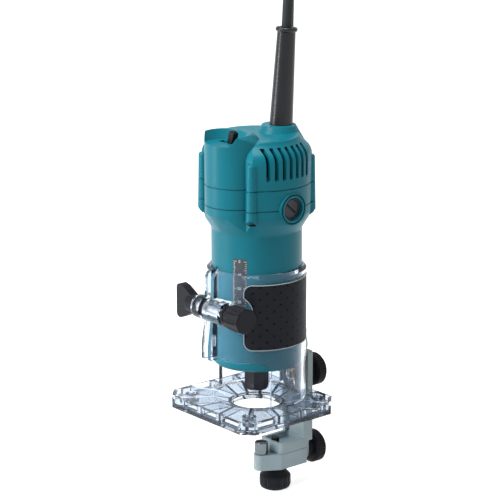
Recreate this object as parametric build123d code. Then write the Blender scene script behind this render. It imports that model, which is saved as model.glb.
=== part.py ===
from build123d import *
import math
import os

# A corded trim router in its clear base, with a trimmer guide bolted to the back of the base.
# Millimetres. The origin is where the bit's axis meets the underside of the base, +Z runs up the
# motor, -Y is the front with the switch and the clamp, and the cord leaves at the back.

# ---------------------------------------------------------------- motor housing
HOUSING_D = 65.0
HOUSING_WALL = 3.0
HOUSING_BOTTOM_Z = 36.7      # at the depth that the router is set to
HOUSING_FLOOR = 5.0
NECK_Z = 136.0               # where the straight cylinder starts to flare
HEAD_Z = 149.0               # where the flare reaches the head's full width
LOWER_PARTING_Z = 156.0      # motor housing to bearing ring
UPPER_PARTING_Z = 170.5      # bearing ring to rear cover
HEAD_R = 39.3
HEAD_WALL = 2.8
FRONT_FLAT_Y = -27.3         # flat wall on each side of the switch tower
TOWER_R = 22.5
TOWER_Y = -18.5
TOWER_TOP_Z = 207.5
TOWER_BACK_Y = -8.0
TOWER_FOOT_R = 15.0
HOOD_Y = -27.0               # the tower's top rounds over about this line
HOOD_FOOT_R = 23.6
HOOD_FOOT_Z = 199.0
HOOD_BEND_R = 22.0
HOOD_BEND_Z = 203.6
HOOD_TOP_R = 17.2
SCOOP_R = 14.5               # open-fronted recess round the switch lever
SCOOP_TOP_R = 17.6
SCOOP_Y = -32.0
SCOOP_FLOOR_Z = 200.6
COLUMN_R = 4.2
COLUMN_PCD_R = 37.9
COLUMN_BOTTOM_Z = 146.5
COLUMN_TOP_Z = 188.0
COLUMN_DRAFT = 0.8           # less radius at the top of a column
COLUMN_ROUND = 1.3
SEAM_H = 0.35                # a shadow groove along each parting line
SEAM_DEPTH = 0.5
DOME_SHOULDER_Z = 184.0
DOME_EDGE_R = 33.0           # the shoulder passes this radius at this height
DOME_EDGE_Z = 199.3
DOME_TOP_Z = 202.6
BOSS_Y = 22.6
BOSS_TOP_R = 12.2
BOSS_FOOT_R = 20.0
BOSS_FOOT_Z = 194.0
BOSS_TOP_Z = 207.4
VENT_COUNT = 7
VENT_PITCH = 5.6
VENT_MIDDLE_Y = -1.4
VENT_WIDTH = 2.8
VENT_BOTTOM_Z = 177.0
VENT_TOP_Z = 199.4
VENT_INNER_X = 22.0

# ---------------------------------------------------------------- motor
SPINDLE_R = 6.0
BEARING_LOW_R = 14.0
BEARING_LOW_H = 8.0
BEARING_TOP_R = 9.5
BEARING_TOP_H = 6.0
BEARING_TOP_BORE_R = 3.5
CORE_R = 29.3
CORE_BORE_R = 17.8
CORE_BOTTOM_Z = 82.0
CORE_H = 42.0
COIL_H = 7.0
AIR_GAP = 0.5
FAN_Z = 58.0
FAN_H = 11.0
FAN_R = 26.0
FAN_BLADES = 12
BAFFLE_H = 2.0
COMMUTATOR_R = 11.0
COMMUTATOR_H = 12.0
COMMUTATOR_BARS = 24
BRUSH_W = 5.0
BRUSH_H = 6.5
BRUSH_L = 11.0
BRUSH_TUBE_WALL = 0.8
BRUSH_CAP_R = 8.4
BRUSH_CAP_H = 4.0
BRUSH_CAP_FACE_X = 37.4
BRUSH_PAD_R = 11.4
BRUSH_BOSS_X = 21.0          # the moulded bosses round the brush tubes start here
RUNNING_GAP = 0.05           # radial clearance of a turning shaft
COLLET_BORE_R = 3.0          # takes a 6 mm shank
COLLET_AF = 16.0
COLLET_NUT_H = 17.0
COLLET_NUT_BOTTOM_Z = 15.0

# ---------------------------------------------------------------- clear base
BASE_W = 93.4
BASE_D = 86.7
BASE_Y = -4.55
BASE_CHAMFER = 8.0
BASE_TOP_Z = 10.0
SOLE_T = 3.2
SKIN_T = 1.8
RIM_T = 2.6
RIB_T = 2.2
RIB_COUNT = 14
RIB_START = -8.0             # degrees from the front towards +X
BIT_HOLE_R = 18.6
DISH_R = 31.0
DISH_Z = 5.6
SOLE_SCREW_X = 32.5
SOLE_SCREW_FRONT_Y = -34.0
SOLE_SCREW_BACK_Y = 29.7
SOLE_SCREW_R = 2.0
SLEEVE_GAP = 0.1             # running clearance round the housing
SLEEVE_WALL = 3.2
SLEEVE_TOP_Z = 109.0
SLEEVE_FRONT_Z = 44.0
WINDOW_FROM = -79.0          # degrees from the front towards +X
WINDOW_TO = 67.0
WINDOW_CORNER_R = 9.0
SLIT_X = -5.0
SLIT_W = 4.0
FLANGE_T = 3.2
FLANGE_Y = -39.7
FLANGE_FOOT_Y = -42.8
FLANGE_ROUND = 5.0
LUG_R = 8.6
LUG_LEFT_X = -16.0
LUG_RIGHT_X = 14.3
GRIP_T = 1.6
GRIP_FROM = 35.5
GRIP_TO = 150.0
GRIP_BOTTOM_Z = 54.2
GRIP_TOP_Z = 102.0
GRIP_CORNER_R = 6.0
GRIP_NOTCH_R = 13.5
GRIP_NOTCH_AT = 24.0
REAR_LUG_W = 24.0
REAR_LUG_TOP_Z = 34.0

# ---------------------------------------------------------------- depth adjustment
ROD_Y = -39.5
ROD_Z = 81.0
ROD_R = 3.0
GEAR_MODULE = 0.5
PINION_TEETH = 30
PINION_W = 3.2
RACK_W = 3.2
RACK_BOTTOM_Z = 66.0
RACK_TOP_Z = 108.5
RACK_RUNOUT = 2.5        # how far the teeth's relief runs on past the rack, for the pinion at its limits
PINION_GAP = 0.35
SCALE_FROM = 19.5            # degrees from the front towards +X
SCALE_TO = 38.6
SCALE_T = 0.6
SCALE_TOP_Z = 120.0
KNOB_R = 9.2
KNOB_NECK_R = 7.2
KNOB_END_X = 36.6
KNOB_FACETS = 8
KNOB_FLUTE_R = 1.7
WING_END_X = -39.0
WING_HALF_H = 12.7
WING_T = 8.6
WING_HUB_R = 6.6

# ---------------------------------------------------------------- switch
LEVER_Y = -25.5
LEVER_PIVOT_Z = 188.0
LEVER_TILT = 15.5
LEVER_W = 5.0
LEVER_T = 4.4
LEVER_TOP_Z = 210.5
LEVER_SLOT_X = 17.0
LEVER_SLOT_Y = 5.2
LEVER_PIN_R = 1.2
SWITCH_BOTTOM_Z = 174.0

# ---------------------------------------------------------------- trimmer guide
GUIDE_HALF_W = 12.0
GUIDE_PLATE_T = 4.8
GUIDE_PLATE_TOP_Z = 37.2
GUIDE_STRIP_HALF_W = 8.2
GUIDE_STEP_Z = -32.0
TRAY_FRONT_Y = 13.0
TRAY_TOP_Z = -29.3
TRAY_BOTTOM_Z = -37.0
TRAY_WALL = 2.6
TRAY_FLOOR = 3.0
ARM_GAP = 0.2
ARM_BOTTOM_Z = -49.0
ARM_BACK_Y = 38.4
ARM_SHOULDER_Y = 13.8
ARM_TRAVEL = 12.0
ROLLER_Y = 4.4
ROLLER_R = 5.0
ROLLER_TOP_Z = -27.9
NOSE_R = 5.6
THREAD_R = 3.0
THREAD_GAP = 0.1
CLAMP_A_Z = 18.0
ADJUSTER_Z = -42.5
CLAMP_B_Y = 17.8
GUIDE_KNOB_R = 12.2
GUIDE_KNOB_FACE_Y = 49.7
GUIDE_KNOB_BACK_Y = 59.0
GUIDE_KNOB_FLUTES = 36
CLAMP_B_R = 11.6
CLAMP_B_TOP_Z = -55.0
CLAMP_B_BOTTOM_Z = -66.5
CLAMP_B_FLUTES = 16

# ---------------------------------------------------------------- cord
GUARD_LEAN = 4.1             # degrees towards the back
GUARD_BASE_Z = 207.4
GUARD_L = 69.0
GUARD_BASE_R = 8.3
GUARD_TOP_R = 6.4
GUARD_COLLAR_R = 7.8
GUARD_COLLAR_H = 3.4
GUARD_NECK_H = 6.0
GUARD_FLANGE_R = 10.3
CORD_CLAMP_Z = 190.0
CLAMP_POST_X = 14.5
CORD_D = 7.5
CORD_START = 10.0            # the free cord starts this deep inside the guard
STOW_BEARING = 50.147        # the stowed cord lies in line with this bearing, behind the router
FLOOR_Z = -66.5
HANK_TURNS_WIDE = 2
HANK_TURNS_HIGH = 2
HANK_FOLD_R = 22.5           # centreline radius of the innermost fold
HANK_SIDE = 33.5             # the hank's middle, sideways and away along the stowed cord's line
HANK_AWAY = 126.5
HANK_RUN = 85.5              # straight length between the folds
TIE_W = 8.0
TIE_AT = -32.0               # along the run, from the hank's middle
TIE_T = 1.2
PLUG_L = 28.0
PLUG_W = 20.0
PLUG_H = 13.0
PIN_L = 17.0
PIN_PITCH = 12.7

HOUSING_R = HOUSING_D / 2
SLEEVE_IN_R = HOUSING_R + SLEEVE_GAP
SLEEVE_R = SLEEVE_IN_R + SLEEVE_WALL
BASE_BACK_Y = BASE_Y + BASE_D / 2
CORE_TOP_Z = CORE_BOTTOM_Z + CORE_H
PINION_PITCH_R = GEAR_MODULE * PINION_TEETH / 2
PINION_TIP_R = PINION_PITCH_R + 0.9 * GEAR_MODULE
RACK_PITCH_Y = ROD_Y + PINION_PITCH_R
TEETH_PITCH = math.pi * GEAR_MODULE
RACK_X0 = SLIT_X - RACK_W / 2
RACK_X1 = SLIT_X + RACK_W / 2


# ---------------------------------------------------------------- helpers
def cyl(r, z0, z1, x=0.0, y=0.0):
    """An upright cylinder between two heights."""
    return Pos(x, y, (z0 + z1) / 2) * Cylinder(r, z1 - z0)


def cyl_x(r, x0, x1, y=0.0, z=0.0):
    """A cylinder along X."""
    return Pos((x0 + x1) / 2, y, z) * Rot(0, 90, 0) * Cylinder(r, x1 - x0)


def cyl_y(r, y0, y1, x=0.0, z=0.0):
    """A cylinder along Y."""
    return Pos(x, (y0 + y1) / 2, z) * Rot(90, 0, 0) * Cylinder(r, y1 - y0)


def box(x0, x1, y0, y1, z0, z1):
    """A box between two corners."""
    return Pos((x0 + x1) / 2, (y0 + y1) / 2, (z0 + z1) / 2) * Box(x1 - x0, y1 - y0, z1 - z0)


def cone(r0, r1, z0, z1, x=0.0, y=0.0):
    """An upright cone frustum, r0 at z0 and r1 at z1."""
    return Pos(x, y, (z0 + z1) / 2) * Cone(r0, r1, z1 - z0)


def turned(points):
    """A solid of revolution about Z from (radius, height) points."""
    wire = Polyline(*[(r, 0, z) for r, z in points], close=True)
    return revolve(make_face(wire), Axis.Z)


def ring(r_out, r_in, z0, z1, y=0.0):
    """An upright tube."""
    return cyl(r_out, z0, z1, y=y) - cyl(r_in, z0 - 1, z1 + 1, y=y)


def sector(a0, a1, r, z0, z1):
    """A pie slice between two bearings, in degrees from the front towards +X."""
    steps = max(2, math.ceil(abs(a1 - a0) / 40) + 1)
    bearings = [math.radians(a0 + (a1 - a0) * i / (steps - 1)) for i in range(steps)]
    far = r / math.cos(math.radians((a1 - a0) / (steps - 1) / 2)) * 1.02
    points = [(0, 0)] + [(far * math.sin(b), -far * math.cos(b)) for b in bearings]
    return Pos(0, 0, z0) * extrude(make_face(Polyline(*points, close=True)), z1 - z0)


def at_bearing(angle, r):
    """X and Y of a point at a bearing from the front towards +X."""
    b = math.radians(angle)
    return r * math.sin(b), -r * math.cos(b)


def knurled(r, depth, count, length):
    """A disc along +Z with vee flutes round its rim."""
    points = []
    for i in range(count):
        for part, radius in ((0.0, r), (0.5, r), (0.75, r - depth)):
            a = 2 * math.pi * (i + part) / count
            points.append((radius * math.cos(a), radius * math.sin(a)))
    return extrude(make_face(Polyline(*points, close=True)), length)


def columns(z0, z1, shrink=0.0):
    """The four screw columns at the diagonals, slimmer towards their tops."""
    span = COLUMN_TOP_Z - COLUMN_BOTTOM_Z
    r0 = COLUMN_R - COLUMN_DRAFT * (z0 - COLUMN_BOTTOM_Z) / span - shrink
    r1 = COLUMN_R - COLUMN_DRAFT * (z1 - COLUMN_BOTTOM_Z) / span - shrink
    made = None
    for bearing in (45, 135, 225, 315):
        x, y = at_bearing(bearing, COLUMN_PCD_R)
        one = cone(r0, r1, z0, z1, x, y)
        made = one if made is None else made + one
    return made


def column_tops():
    """The rounded tops of the four columns."""
    r = COLUMN_R - COLUMN_DRAFT
    made = None
    for bearing in (45, 135, 225, 315):
        x, y = at_bearing(bearing, COLUMN_PCD_R)
        one = cone(r, r - COLUMN_ROUND / 2, COLUMN_TOP_Z, COLUMN_TOP_Z + COLUMN_ROUND, x, y)
        made = one if made is None else made + one
    return made


def column_undercuts():
    """What each column's foot loses on its outer side, so that the screw's recess is open there."""
    made = None
    for bearing in (45, 135, 225, 315):
        x, y = at_bearing(bearing, COLUMN_PCD_R)
        one = Pos(x, y, COLUMN_BOTTOM_Z) * Rot(0, 0, bearing) * Pos(0, -0.6, 0) * (
            Rot(-45, 0, 0) * Pos(0, -10, -5) * Box(14, 20, 10))
        made = one if made is None else made + one
    return made


def column_holes(r, z0, z1):
    """Screw holes down the four columns."""
    made = None
    for bearing in (45, 135, 225, 315):
        x, y = at_bearing(bearing, COLUMN_PCD_R)
        one = cyl(r, z0, z1, x, y)
        made = one if made is None else made + one
    return made


def drum(z0, z1, inset=0.0):
    """The head's round body with its flat front wall."""
    return cyl(HEAD_R - inset, z0, z1) & box(-60, 60, FRONT_FLAT_Y + inset, 60, z0, z1)


def tower(z0, z1, inset=0.0):
    """The half-round switch tower at the front of the head."""
    r = TOWER_R - inset
    return cyl(r, z0, z1, y=TOWER_Y) + box(-r, r, TOWER_Y, 0, z0, z1)


def brush_pads(z0, z1):
    """Flat round pads on both sides of the head, one round each brush cap."""
    pads = cyl_x(BRUSH_PAD_R, HEAD_R - 6, HEAD_R + 0.9, z=LOWER_PARTING_Z)
    pads += cyl_x(BRUSH_PAD_R, -HEAD_R - 0.9, -HEAD_R + 6, z=LOWER_PARTING_Z)
    return pads & box(-60, 60, -20, 20, z0, z1)


def head_outline(z0, z1, inset=0.0):
    """The head's whole outline between two heights."""
    body = drum(z0, z1, inset) + tower(z0, z1, inset) + columns(z0, z1, inset)
    return body + brush_pads(z0, z1)


def seam(z0, z1):
    """A shallow groove round the head at a parting line."""
    return head_outline(z0, z1) - head_outline(z0 - 1, z1 + 1, SEAM_DEPTH)


def brush_bosses(z0, z1):
    """Bosses inside the head that hold the brush tubes."""
    bosses = cyl_x(BRUSH_PAD_R - 2, BRUSH_BOSS_X, HEAD_R - 1, z=LOWER_PARTING_Z)
    bosses += cyl_x(BRUSH_PAD_R - 2, 1 - HEAD_R, -BRUSH_BOSS_X, z=LOWER_PARTING_Z)
    return bosses & box(-60, 60, -20, 20, z0, z1)


def brush_pockets():
    """Cap recesses, grooves round them and the passages for the square brush tubes."""
    cut = None
    half_w, half_h = BRUSH_W / 2 + BRUSH_TUBE_WALL, BRUSH_H / 2 + BRUSH_TUBE_WALL
    for side in (-1, 1):
        low, high = sorted((side * (BRUSH_CAP_FACE_X - BRUSH_CAP_H), side * 50))
        cap = cyl_x(BRUSH_CAP_R, low, high, z=LOWER_PARTING_Z)
        low, high = sorted((side * (HEAD_R - 0.9), side * 50))
        groove = cyl_x(BRUSH_PAD_R - 0.7, low, high, z=LOWER_PARTING_Z)
        groove -= cyl_x(BRUSH_CAP_R + 1.3, low, high, z=LOWER_PARTING_Z)
        low, high = sorted((side * (BRUSH_BOSS_X - 1), side * (BRUSH_CAP_FACE_X - 1)))
        tube = box(low, high, -half_w, half_w, LOWER_PARTING_Z - half_h, LOWER_PARTING_Z + half_h)
        for one in (cap, groove, tube):
            cut = one if cut is None else cut + one
    return cut


# ---------------------------------------------------------------- motor unit
def make_motor_housing():
    """The long lower shell: a straight cylinder that flares into the head."""
    z0 = HOUSING_BOTTOM_Z
    body = turned([
        (0, z0), (HOUSING_R - 2, z0), (HOUSING_R, z0 + 2), (HOUSING_R, NECK_Z),
        (HOUSING_R + 0.5, NECK_Z + 1.5), (HOUSING_R + 1.6, NECK_Z + 3.5),
        (HOUSING_R + 5.0, HEAD_Z - 4), (HEAD_R - 0.6, HEAD_Z - 1), (HEAD_R, HEAD_Z + 1),
        (HEAD_R, LOWER_PARTING_Z), (0, LOWER_PARTING_Z),
    ])
    body &= cyl(HOUSING_R, 0, LOWER_PARTING_Z) + drum(NECK_Z, LOWER_PARTING_Z) + tower(
        NECK_Z, LOWER_PARTING_Z)
    body += cone(TOWER_FOOT_R, TOWER_R, NECK_Z + 2, HEAD_Z + 1, y=TOWER_Y)
    body += tower(HEAD_Z + 1, LOWER_PARTING_Z)
    body += columns(COLUMN_BOTTOM_Z, LOWER_PARTING_Z) - column_undercuts()
    body += brush_pads(LOWER_PARTING_Z - 20, LOWER_PARTING_Z)
    body -= seam(LOWER_PARTING_Z - SEAM_H, LOWER_PARTING_Z)
    cavity_r = HOUSING_R - HOUSING_WALL
    floor_z = z0 + HOUSING_FLOOR
    body -= cyl(cavity_r, floor_z + BEARING_LOW_H, LOWER_PARTING_Z + 1)
    body -= turned([
        (cavity_r - 1, HEAD_Z - 6), (HEAD_R - HEAD_WALL, HEAD_Z), (HEAD_R - HEAD_WALL, 160),
        (0, 160), (0, HEAD_Z - 6),
    ]) & box(-60, 60, FRONT_FLAT_Y + HEAD_WALL, 60, HEAD_Z - 6, 160)
    body -= tower(HEAD_Z + 1, LOWER_PARTING_Z + 1, HEAD_WALL)
    body -= cyl(BEARING_LOW_R, floor_z, floor_z + BEARING_LOW_H + 1)
    body -= cyl(BEARING_LOW_R - 3.5, z0 - 1, floor_z + 1)
    body -= cyl(COLLET_AF / 2 + 3.4, z0 - 1, z0 + 1.5)
    body -= column_holes(1.7, COLUMN_BOTTOM_Z - 1, LOWER_PARTING_Z + 1)
    body -= column_holes(2.9, COLUMN_BOTTOM_Z - 1, COLUMN_BOTTOM_Z + 3.2)
    body += brush_bosses(LOWER_PARTING_Z - 20, LOWER_PARTING_Z)
    body -= brush_pockets()
    body -= box(RACK_X0, RACK_X1, -HOUSING_R - 2, rack_back_y(), RACK_BOTTOM_Z, RACK_TOP_Z)
    body -= box(RACK_X0, RACK_X1, -HOUSING_R - 2, ROD_Y + PINION_TIP_R + PINION_GAP,
                RACK_BOTTOM_Z - RACK_RUNOUT, RACK_TOP_Z + RACK_RUNOUT)
    body -= scale_band(HOUSING_R - SCALE_T, HOUSING_R + 1)
    return body


def rack_back_y():
    """The rack's back sits this far out, in a groove of the housing."""
    return RACK_PITCH_Y + 2.4


def scale_band(r_in, r_out):
    """The band of the depth scale between two radii."""
    band = ring(r_out, r_in, RACK_BOTTOM_Z, SCALE_TOP_Z)
    return band & sector(SCALE_FROM, SCALE_TO, r_out + 1, RACK_BOTTOM_Z, SCALE_TOP_Z)


def make_bearing_ring():
    """The middle shell, with the bridge that carries the upper bearing."""
    z0, z1 = LOWER_PARTING_Z, UPPER_PARTING_Z
    body = drum(z0, z1) + tower(z0, z1) + columns(z0, z1) + brush_pads(z0, z1)
    inner = drum(z0 - 1, z1 + 1, HEAD_WALL) + tower(z0 - 1, z1 + 1, HEAD_WALL)
    bridge = cyl(BEARING_TOP_R + 3, z1 - BEARING_TOP_H - 2, z1) + box(
        -HEAD_R + 1, HEAD_R - 1, -5, 5, z1 - 4, z1)
    body = (body - inner) + (bridge & drum(z0, z1, 1))
    body -= cyl(BEARING_TOP_R, z1 - BEARING_TOP_H, z1 + 1)
    body -= cyl(BEARING_TOP_R - 2.5, z0, z1)
    body -= column_holes(1.7, z0 - 1, z1 + 1)
    body -= seam(z0, z0 + SEAM_H) + seam(z1 - SEAM_H, z1)
    body += brush_bosses(z0, z1)
    body -= brush_pockets()
    return body


def dome(inset=0.0):
    """The top of the head: a round shoulder under a nearly flat crown, rounded at the front too."""
    r, top = HEAD_R - inset, DOME_TOP_Z - inset
    edge_r, edge_z = DOME_EDGE_R - 0.7 * inset, DOME_EDGE_Z - 0.7 * inset
    start = Line((0, 0, UPPER_PARTING_Z), (r, 0, UPPER_PARTING_Z))
    side = Line((r, 0, UPPER_PARTING_Z), (r, 0, DOME_SHOULDER_Z))
    crown = Spline(
        (r, 0, DOME_SHOULDER_Z), (0.35 * edge_r + 0.65 * r, 0, 0.25 * DOME_SHOULDER_Z + 0.75 * edge_z),
        (edge_r, 0, edge_z), (0, 0, top), tangents=[(0, 0, 1), (-1, 0, 0)])
    axis = Line((0, 0, top), (0, 0, UPPER_PARTING_Z))
    body = revolve(make_face([start, side, crown, axis]), Axis.Z)
    front = FRONT_FLAT_Y + inset
    roll = Spline((0, front, 189.0), (0, front + 5.6, edge_z + 1.2), (0, 0, top + 1.0),
                  tangents=[(0, 0, 1), (0, 1, 0)])
    sides = [
        Line((0, 60, UPPER_PARTING_Z), (0, front, UPPER_PARTING_Z)),
        Line((0, front, UPPER_PARTING_Z), (0, front, 189.0)), roll,
        Line((0, 0, top + 1.0), (0, 60, top + 1.0)), Line((0, 60, top + 1.0), (0, 60, UPPER_PARTING_Z))]
    return body & extrude(make_face(sides), 60, dir=(1, 0, 0), both=True)


def hood():
    """The round-shouldered form that trims the tower's top."""
    low_r, low_z = HOOD_FOOT_R + 10, HOOD_FOOT_Z - 12
    profile = [
        Line((0, 0, low_z), (low_r, 0, low_z)), Line((low_r, 0, low_z), (HOOD_FOOT_R, 0, HOOD_FOOT_Z)),
        ThreePointArc((HOOD_FOOT_R, 0, HOOD_FOOT_Z), (HOOD_BEND_R, 0, HOOD_BEND_Z),
                      (HOOD_TOP_R, 0, TOWER_TOP_Z)),
        Line((HOOD_TOP_R, 0, TOWER_TOP_Z), (0, 0, TOWER_TOP_Z)),
        Line((0, 0, TOWER_TOP_Z), (0, 0, low_z))]
    return Pos(0, HOOD_Y, 0) * revolve(make_face(profile), Axis.Z)


def vents():
    """Air slots over the shoulder on both sides of the cover."""
    cut = None
    for side in (-1, 1):
        for i in range(VENT_COUNT):
            y = VENT_MIDDLE_Y + VENT_PITCH * (i - (VENT_COUNT - 1) / 2)
            x0, x1 = sorted((side * VENT_INNER_X, side * 60))
            half = VENT_WIDTH / 2
            slot = box(x0, x1, y - half, y + half, VENT_BOTTOM_Z + half, VENT_TOP_Z)
            slot += cyl_x(half, x0, x1, y, VENT_BOTTOM_Z + half)
            cut = slot if cut is None else cut + slot
    return cut


def make_rear_cover():
    """The top shell with the switch tower, the air slots and the cord's boss."""
    body = dome() + columns(UPPER_PARTING_Z, COLUMN_TOP_Z) + column_tops()
    upper = cyl(TOWER_R, UPPER_PARTING_Z, TOWER_TOP_Z, y=TOWER_Y) + box(
        -TOWER_R, TOWER_R, TOWER_Y, TOWER_BACK_Y, UPPER_PARTING_Z, TOWER_TOP_Z)
    body += upper & (hood() + cyl(60, UPPER_PARTING_Z, HOOD_FOOT_Z - 10))
    boss = turned([
        (0, BOSS_FOOT_Z - 8), (BOSS_FOOT_R + 2.4, BOSS_FOOT_Z - 8), (BOSS_FOOT_R, BOSS_FOOT_Z),
        (BOSS_TOP_R + 4, BOSS_TOP_Z - 7), (BOSS_TOP_R, BOSS_TOP_Z), (0, BOSS_TOP_Z)])
    body += Pos(0, BOSS_Y - 2.2, 0) * boss & cyl(HEAD_R, UPPER_PARTING_Z, 230)
    inner = dome(HEAD_WALL)
    inner += tower(UPPER_PARTING_Z, SCOOP_FLOOR_Z - HEAD_WALL, HEAD_WALL) & (
        box(-60, 60, -60, TOWER_BACK_Y - HEAD_WALL, 0, 300) + cyl(60, 0, HOOD_FOOT_Z - 10))
    body -= inner
    scoop_slope = (SCOOP_TOP_R - SCOOP_R) / (TOWER_TOP_Z - SCOOP_FLOOR_Z)
    body -= cone(SCOOP_R, SCOOP_TOP_R + 5 * scoop_slope, SCOOP_FLOOR_Z, TOWER_TOP_Z + 5, y=SCOOP_Y)
    body -= seam(UPPER_PARTING_Z, UPPER_PARTING_Z + SEAM_H)
    body -= box(-LEVER_SLOT_X / 2, LEVER_SLOT_X / 2, LEVER_Y - LEVER_SLOT_Y / 2,
                LEVER_Y + LEVER_SLOT_Y / 2, SCOOP_FLOOR_Z - 6, SCOOP_FLOOR_Z + 1)
    body -= vents()
    for x in (-CLAMP_POST_X, CLAMP_POST_X):
        body += cyl(3.0, CORD_CLAMP_Z, 202, x, BOSS_Y) & dome()
    body -= guard_placed(cyl(GUARD_BASE_R, -20, 3))
    body -= guard_placed(cyl(GUARD_FLANGE_R, -30, -GUARD_NECK_H))
    body -= column_holes(1.3, UPPER_PARTING_Z - 1, COLUMN_TOP_Z - 3)
    return body


def guard_placed(shape):
    """Sets a shape made on the Z axis onto the cord boss, leaning back with the guard."""
    return Pos(0, BOSS_Y, GUARD_BASE_Z) * Rot(-GUARD_LEAN, 0, 0) * shape


def make_cord_in_guard():
    """The cord's held stretch, from the clamp up through the guard."""
    return guard_placed(cyl(CORD_D / 2, CORD_CLAMP_Z - GUARD_BASE_Z - 5, GUARD_L - CORD_START))


def make_cord_guard():
    """The tapered rubber strain relief, with its collar and the flange inside the cover."""
    body = cone(GUARD_BASE_R, GUARD_TOP_R, 0, GUARD_L)
    collar = cyl(GUARD_COLLAR_R, GUARD_L - GUARD_COLLAR_H, GUARD_L)
    body += fillet(collar.edges().filter_by(GeomType.CIRCLE), GUARD_COLLAR_H * 0.45)
    body += cyl(GUARD_BASE_R, -GUARD_NECK_H, 0)
    body += cyl(GUARD_FLANGE_R, -GUARD_NECK_H - 4, -GUARD_NECK_H)
    return guard_placed(body - cyl(CORD_D / 2, -20, GUARD_L + 5))


def make_housing_screws():
    """Four screws that hold the three shells together, driven up the columns."""
    made = []
    for bearing in (45, 135, 225, 315):
        x, y = at_bearing(bearing, COLUMN_PCD_R)
        screw = cyl(1.6, COLUMN_BOTTOM_Z + 3, UPPER_PARTING_Z, x, y)
        screw += cyl(1.25, UPPER_PARTING_Z, COLUMN_TOP_Z - 4, x, y)
        screw += cyl(2.7, COLUMN_BOTTOM_Z + 0.8, COLUMN_BOTTOM_Z + 3.2, x, y)
        made.append(screw - box(x - 3, x + 3, y - 0.4, y + 0.4, 140, COLUMN_BOTTOM_Z + 1.8))
    return made


def make_depth_rack():
    """A straight rack let into the housing, in mesh with the pinion."""
    root_y = RACK_PITCH_Y + 1.1 * GEAR_MODULE
    tip_y = RACK_PITCH_Y - 0.8 * GEAR_MODULE
    points = [(rack_back_y(), RACK_BOTTOM_Z), (rack_back_y(), RACK_TOP_Z), (root_y, RACK_TOP_Z)]
    first = math.ceil((RACK_BOTTOM_Z + 0.8 - ROD_Z) / TEETH_PITCH)
    last = math.floor((RACK_TOP_Z - 0.8 - ROD_Z) / TEETH_PITCH)
    for i in range(last, first - 1, -1):
        z = ROD_Z + i * TEETH_PITCH
        points += [(root_y, z + 0.34 * TEETH_PITCH), (tip_y, z + 0.13 * TEETH_PITCH),
                   (tip_y, z - 0.13 * TEETH_PITCH), (root_y, z - 0.34 * TEETH_PITCH)]
    points.append((root_y, RACK_BOTTOM_Z))
    face = make_face(Polyline(*[(RACK_X0, y, z) for y, z in points], close=True))
    return extrude(face, RACK_X1 - RACK_X0, dir=(1, 0, 0))


def make_depth_scale():
    """The inlaid scale plate."""
    return scale_band(HOUSING_R - SCALE_T, HOUSING_R)


def make_field_core():
    """The laminated stator."""
    body = ring(CORE_R, CORE_BORE_R, CORE_BOTTOM_Z, CORE_TOP_Z)
    for side in (-1, 1):
        y0, y1 = sorted((side * 14, side * 25.5))
        body -= box(-8.0, 8.0, y0, y1, CORE_BOTTOM_Z - 1, CORE_TOP_Z + 1) - cyl(
            CORE_BORE_R + 1.2, CORE_BOTTOM_Z - 1, CORE_TOP_Z + 1)
    return body


def make_field_coils():
    """Two field windings that stand out at both ends of the stator."""
    made = []
    for side in (-1, 1):
        pie = sector(90 * side - 70, 90 * side + 70, 40, CORE_BOTTOM_Z - COIL_H, CORE_TOP_Z + COIL_H)
        for z0, z1 in ((CORE_BOTTOM_Z - COIL_H, CORE_BOTTOM_Z), (CORE_TOP_Z, CORE_TOP_Z + COIL_H)):
            made.append(ring(CORE_R - 2.5, CORE_BORE_R + 1.5, z0, z1) & pie)
    return made


def make_bearing(r_out, r_in, z0, height):
    """A sealed ball bearing: two rings and a recessed seal between them."""
    third = (r_out - r_in) / 3
    body = ring(r_out, r_in, z0, z0 + height)
    for low in (z0 - 1, z0 + height - 0.4):
        body -= ring(r_out - third, r_in + third, low, low + 1.4)
    return body


def make_nose_ring():
    """The steel ring that retains the lower bearing, let into the housing's floor."""
    return ring(COLLET_AF / 2 + 3.4, COLLET_AF / 2 + 1.6, HOUSING_BOTTOM_Z, HOUSING_BOTTOM_Z + 1.5)


def make_baffle():
    """The air baffle between the fan and the stator."""
    z0 = FAN_Z + FAN_H + 1.5
    return ring(HOUSING_R - HOUSING_WALL, 19.0, z0, z0 + BAFFLE_H)


def make_brush_holders():
    """Two square brass tubes with round ends that take the caps."""
    made = []
    half_w, half_h = BRUSH_W / 2, BRUSH_H / 2
    wall = BRUSH_TUBE_WALL
    for side in (-1, 1):
        inner, outer = COMMUTATOR_R + 1.5, BRUSH_CAP_FACE_X - BRUSH_CAP_H
        x0, x1 = sorted((side * inner, side * outer))
        tube = box(x0, x1, -half_w - wall, half_w + wall,
                   LOWER_PARTING_Z - half_h - wall, LOWER_PARTING_Z + half_h + wall)
        tube -= box(x0 - 1, x1 + 1, -half_w, half_w,
                    LOWER_PARTING_Z - half_h, LOWER_PARTING_Z + half_h)
        made.append(tube)
    return made


def make_carbon_brushes():
    """Two carbon blocks that bear on the commutator."""
    made = []
    for side in (-1, 1):
        x0, x1 = sorted((side * (COMMUTATOR_R + 0.1), side * (COMMUTATOR_R + BRUSH_L)))
        made.append(box(x0, x1, -BRUSH_W / 2 + 0.1, BRUSH_W / 2 - 0.1,
                        LOWER_PARTING_Z - BRUSH_H / 2 + 0.1, LOWER_PARTING_Z + BRUSH_H / 2 - 0.1))
    return made


def make_brush_springs():
    """The envelope of each brush spring, from the brush to the cap."""
    made = []
    for side in (-1, 1):
        x0, x1 = sorted((side * (COMMUTATOR_R + BRUSH_L), side * (BRUSH_CAP_FACE_X - BRUSH_CAP_H)))
        made.append(cyl_x(2.2, x0, x1, z=LOWER_PARTING_Z) - cyl_x(1.6, x0 - 1, x1 + 1,
                                                                  z=LOWER_PARTING_Z))
    return made


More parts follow.
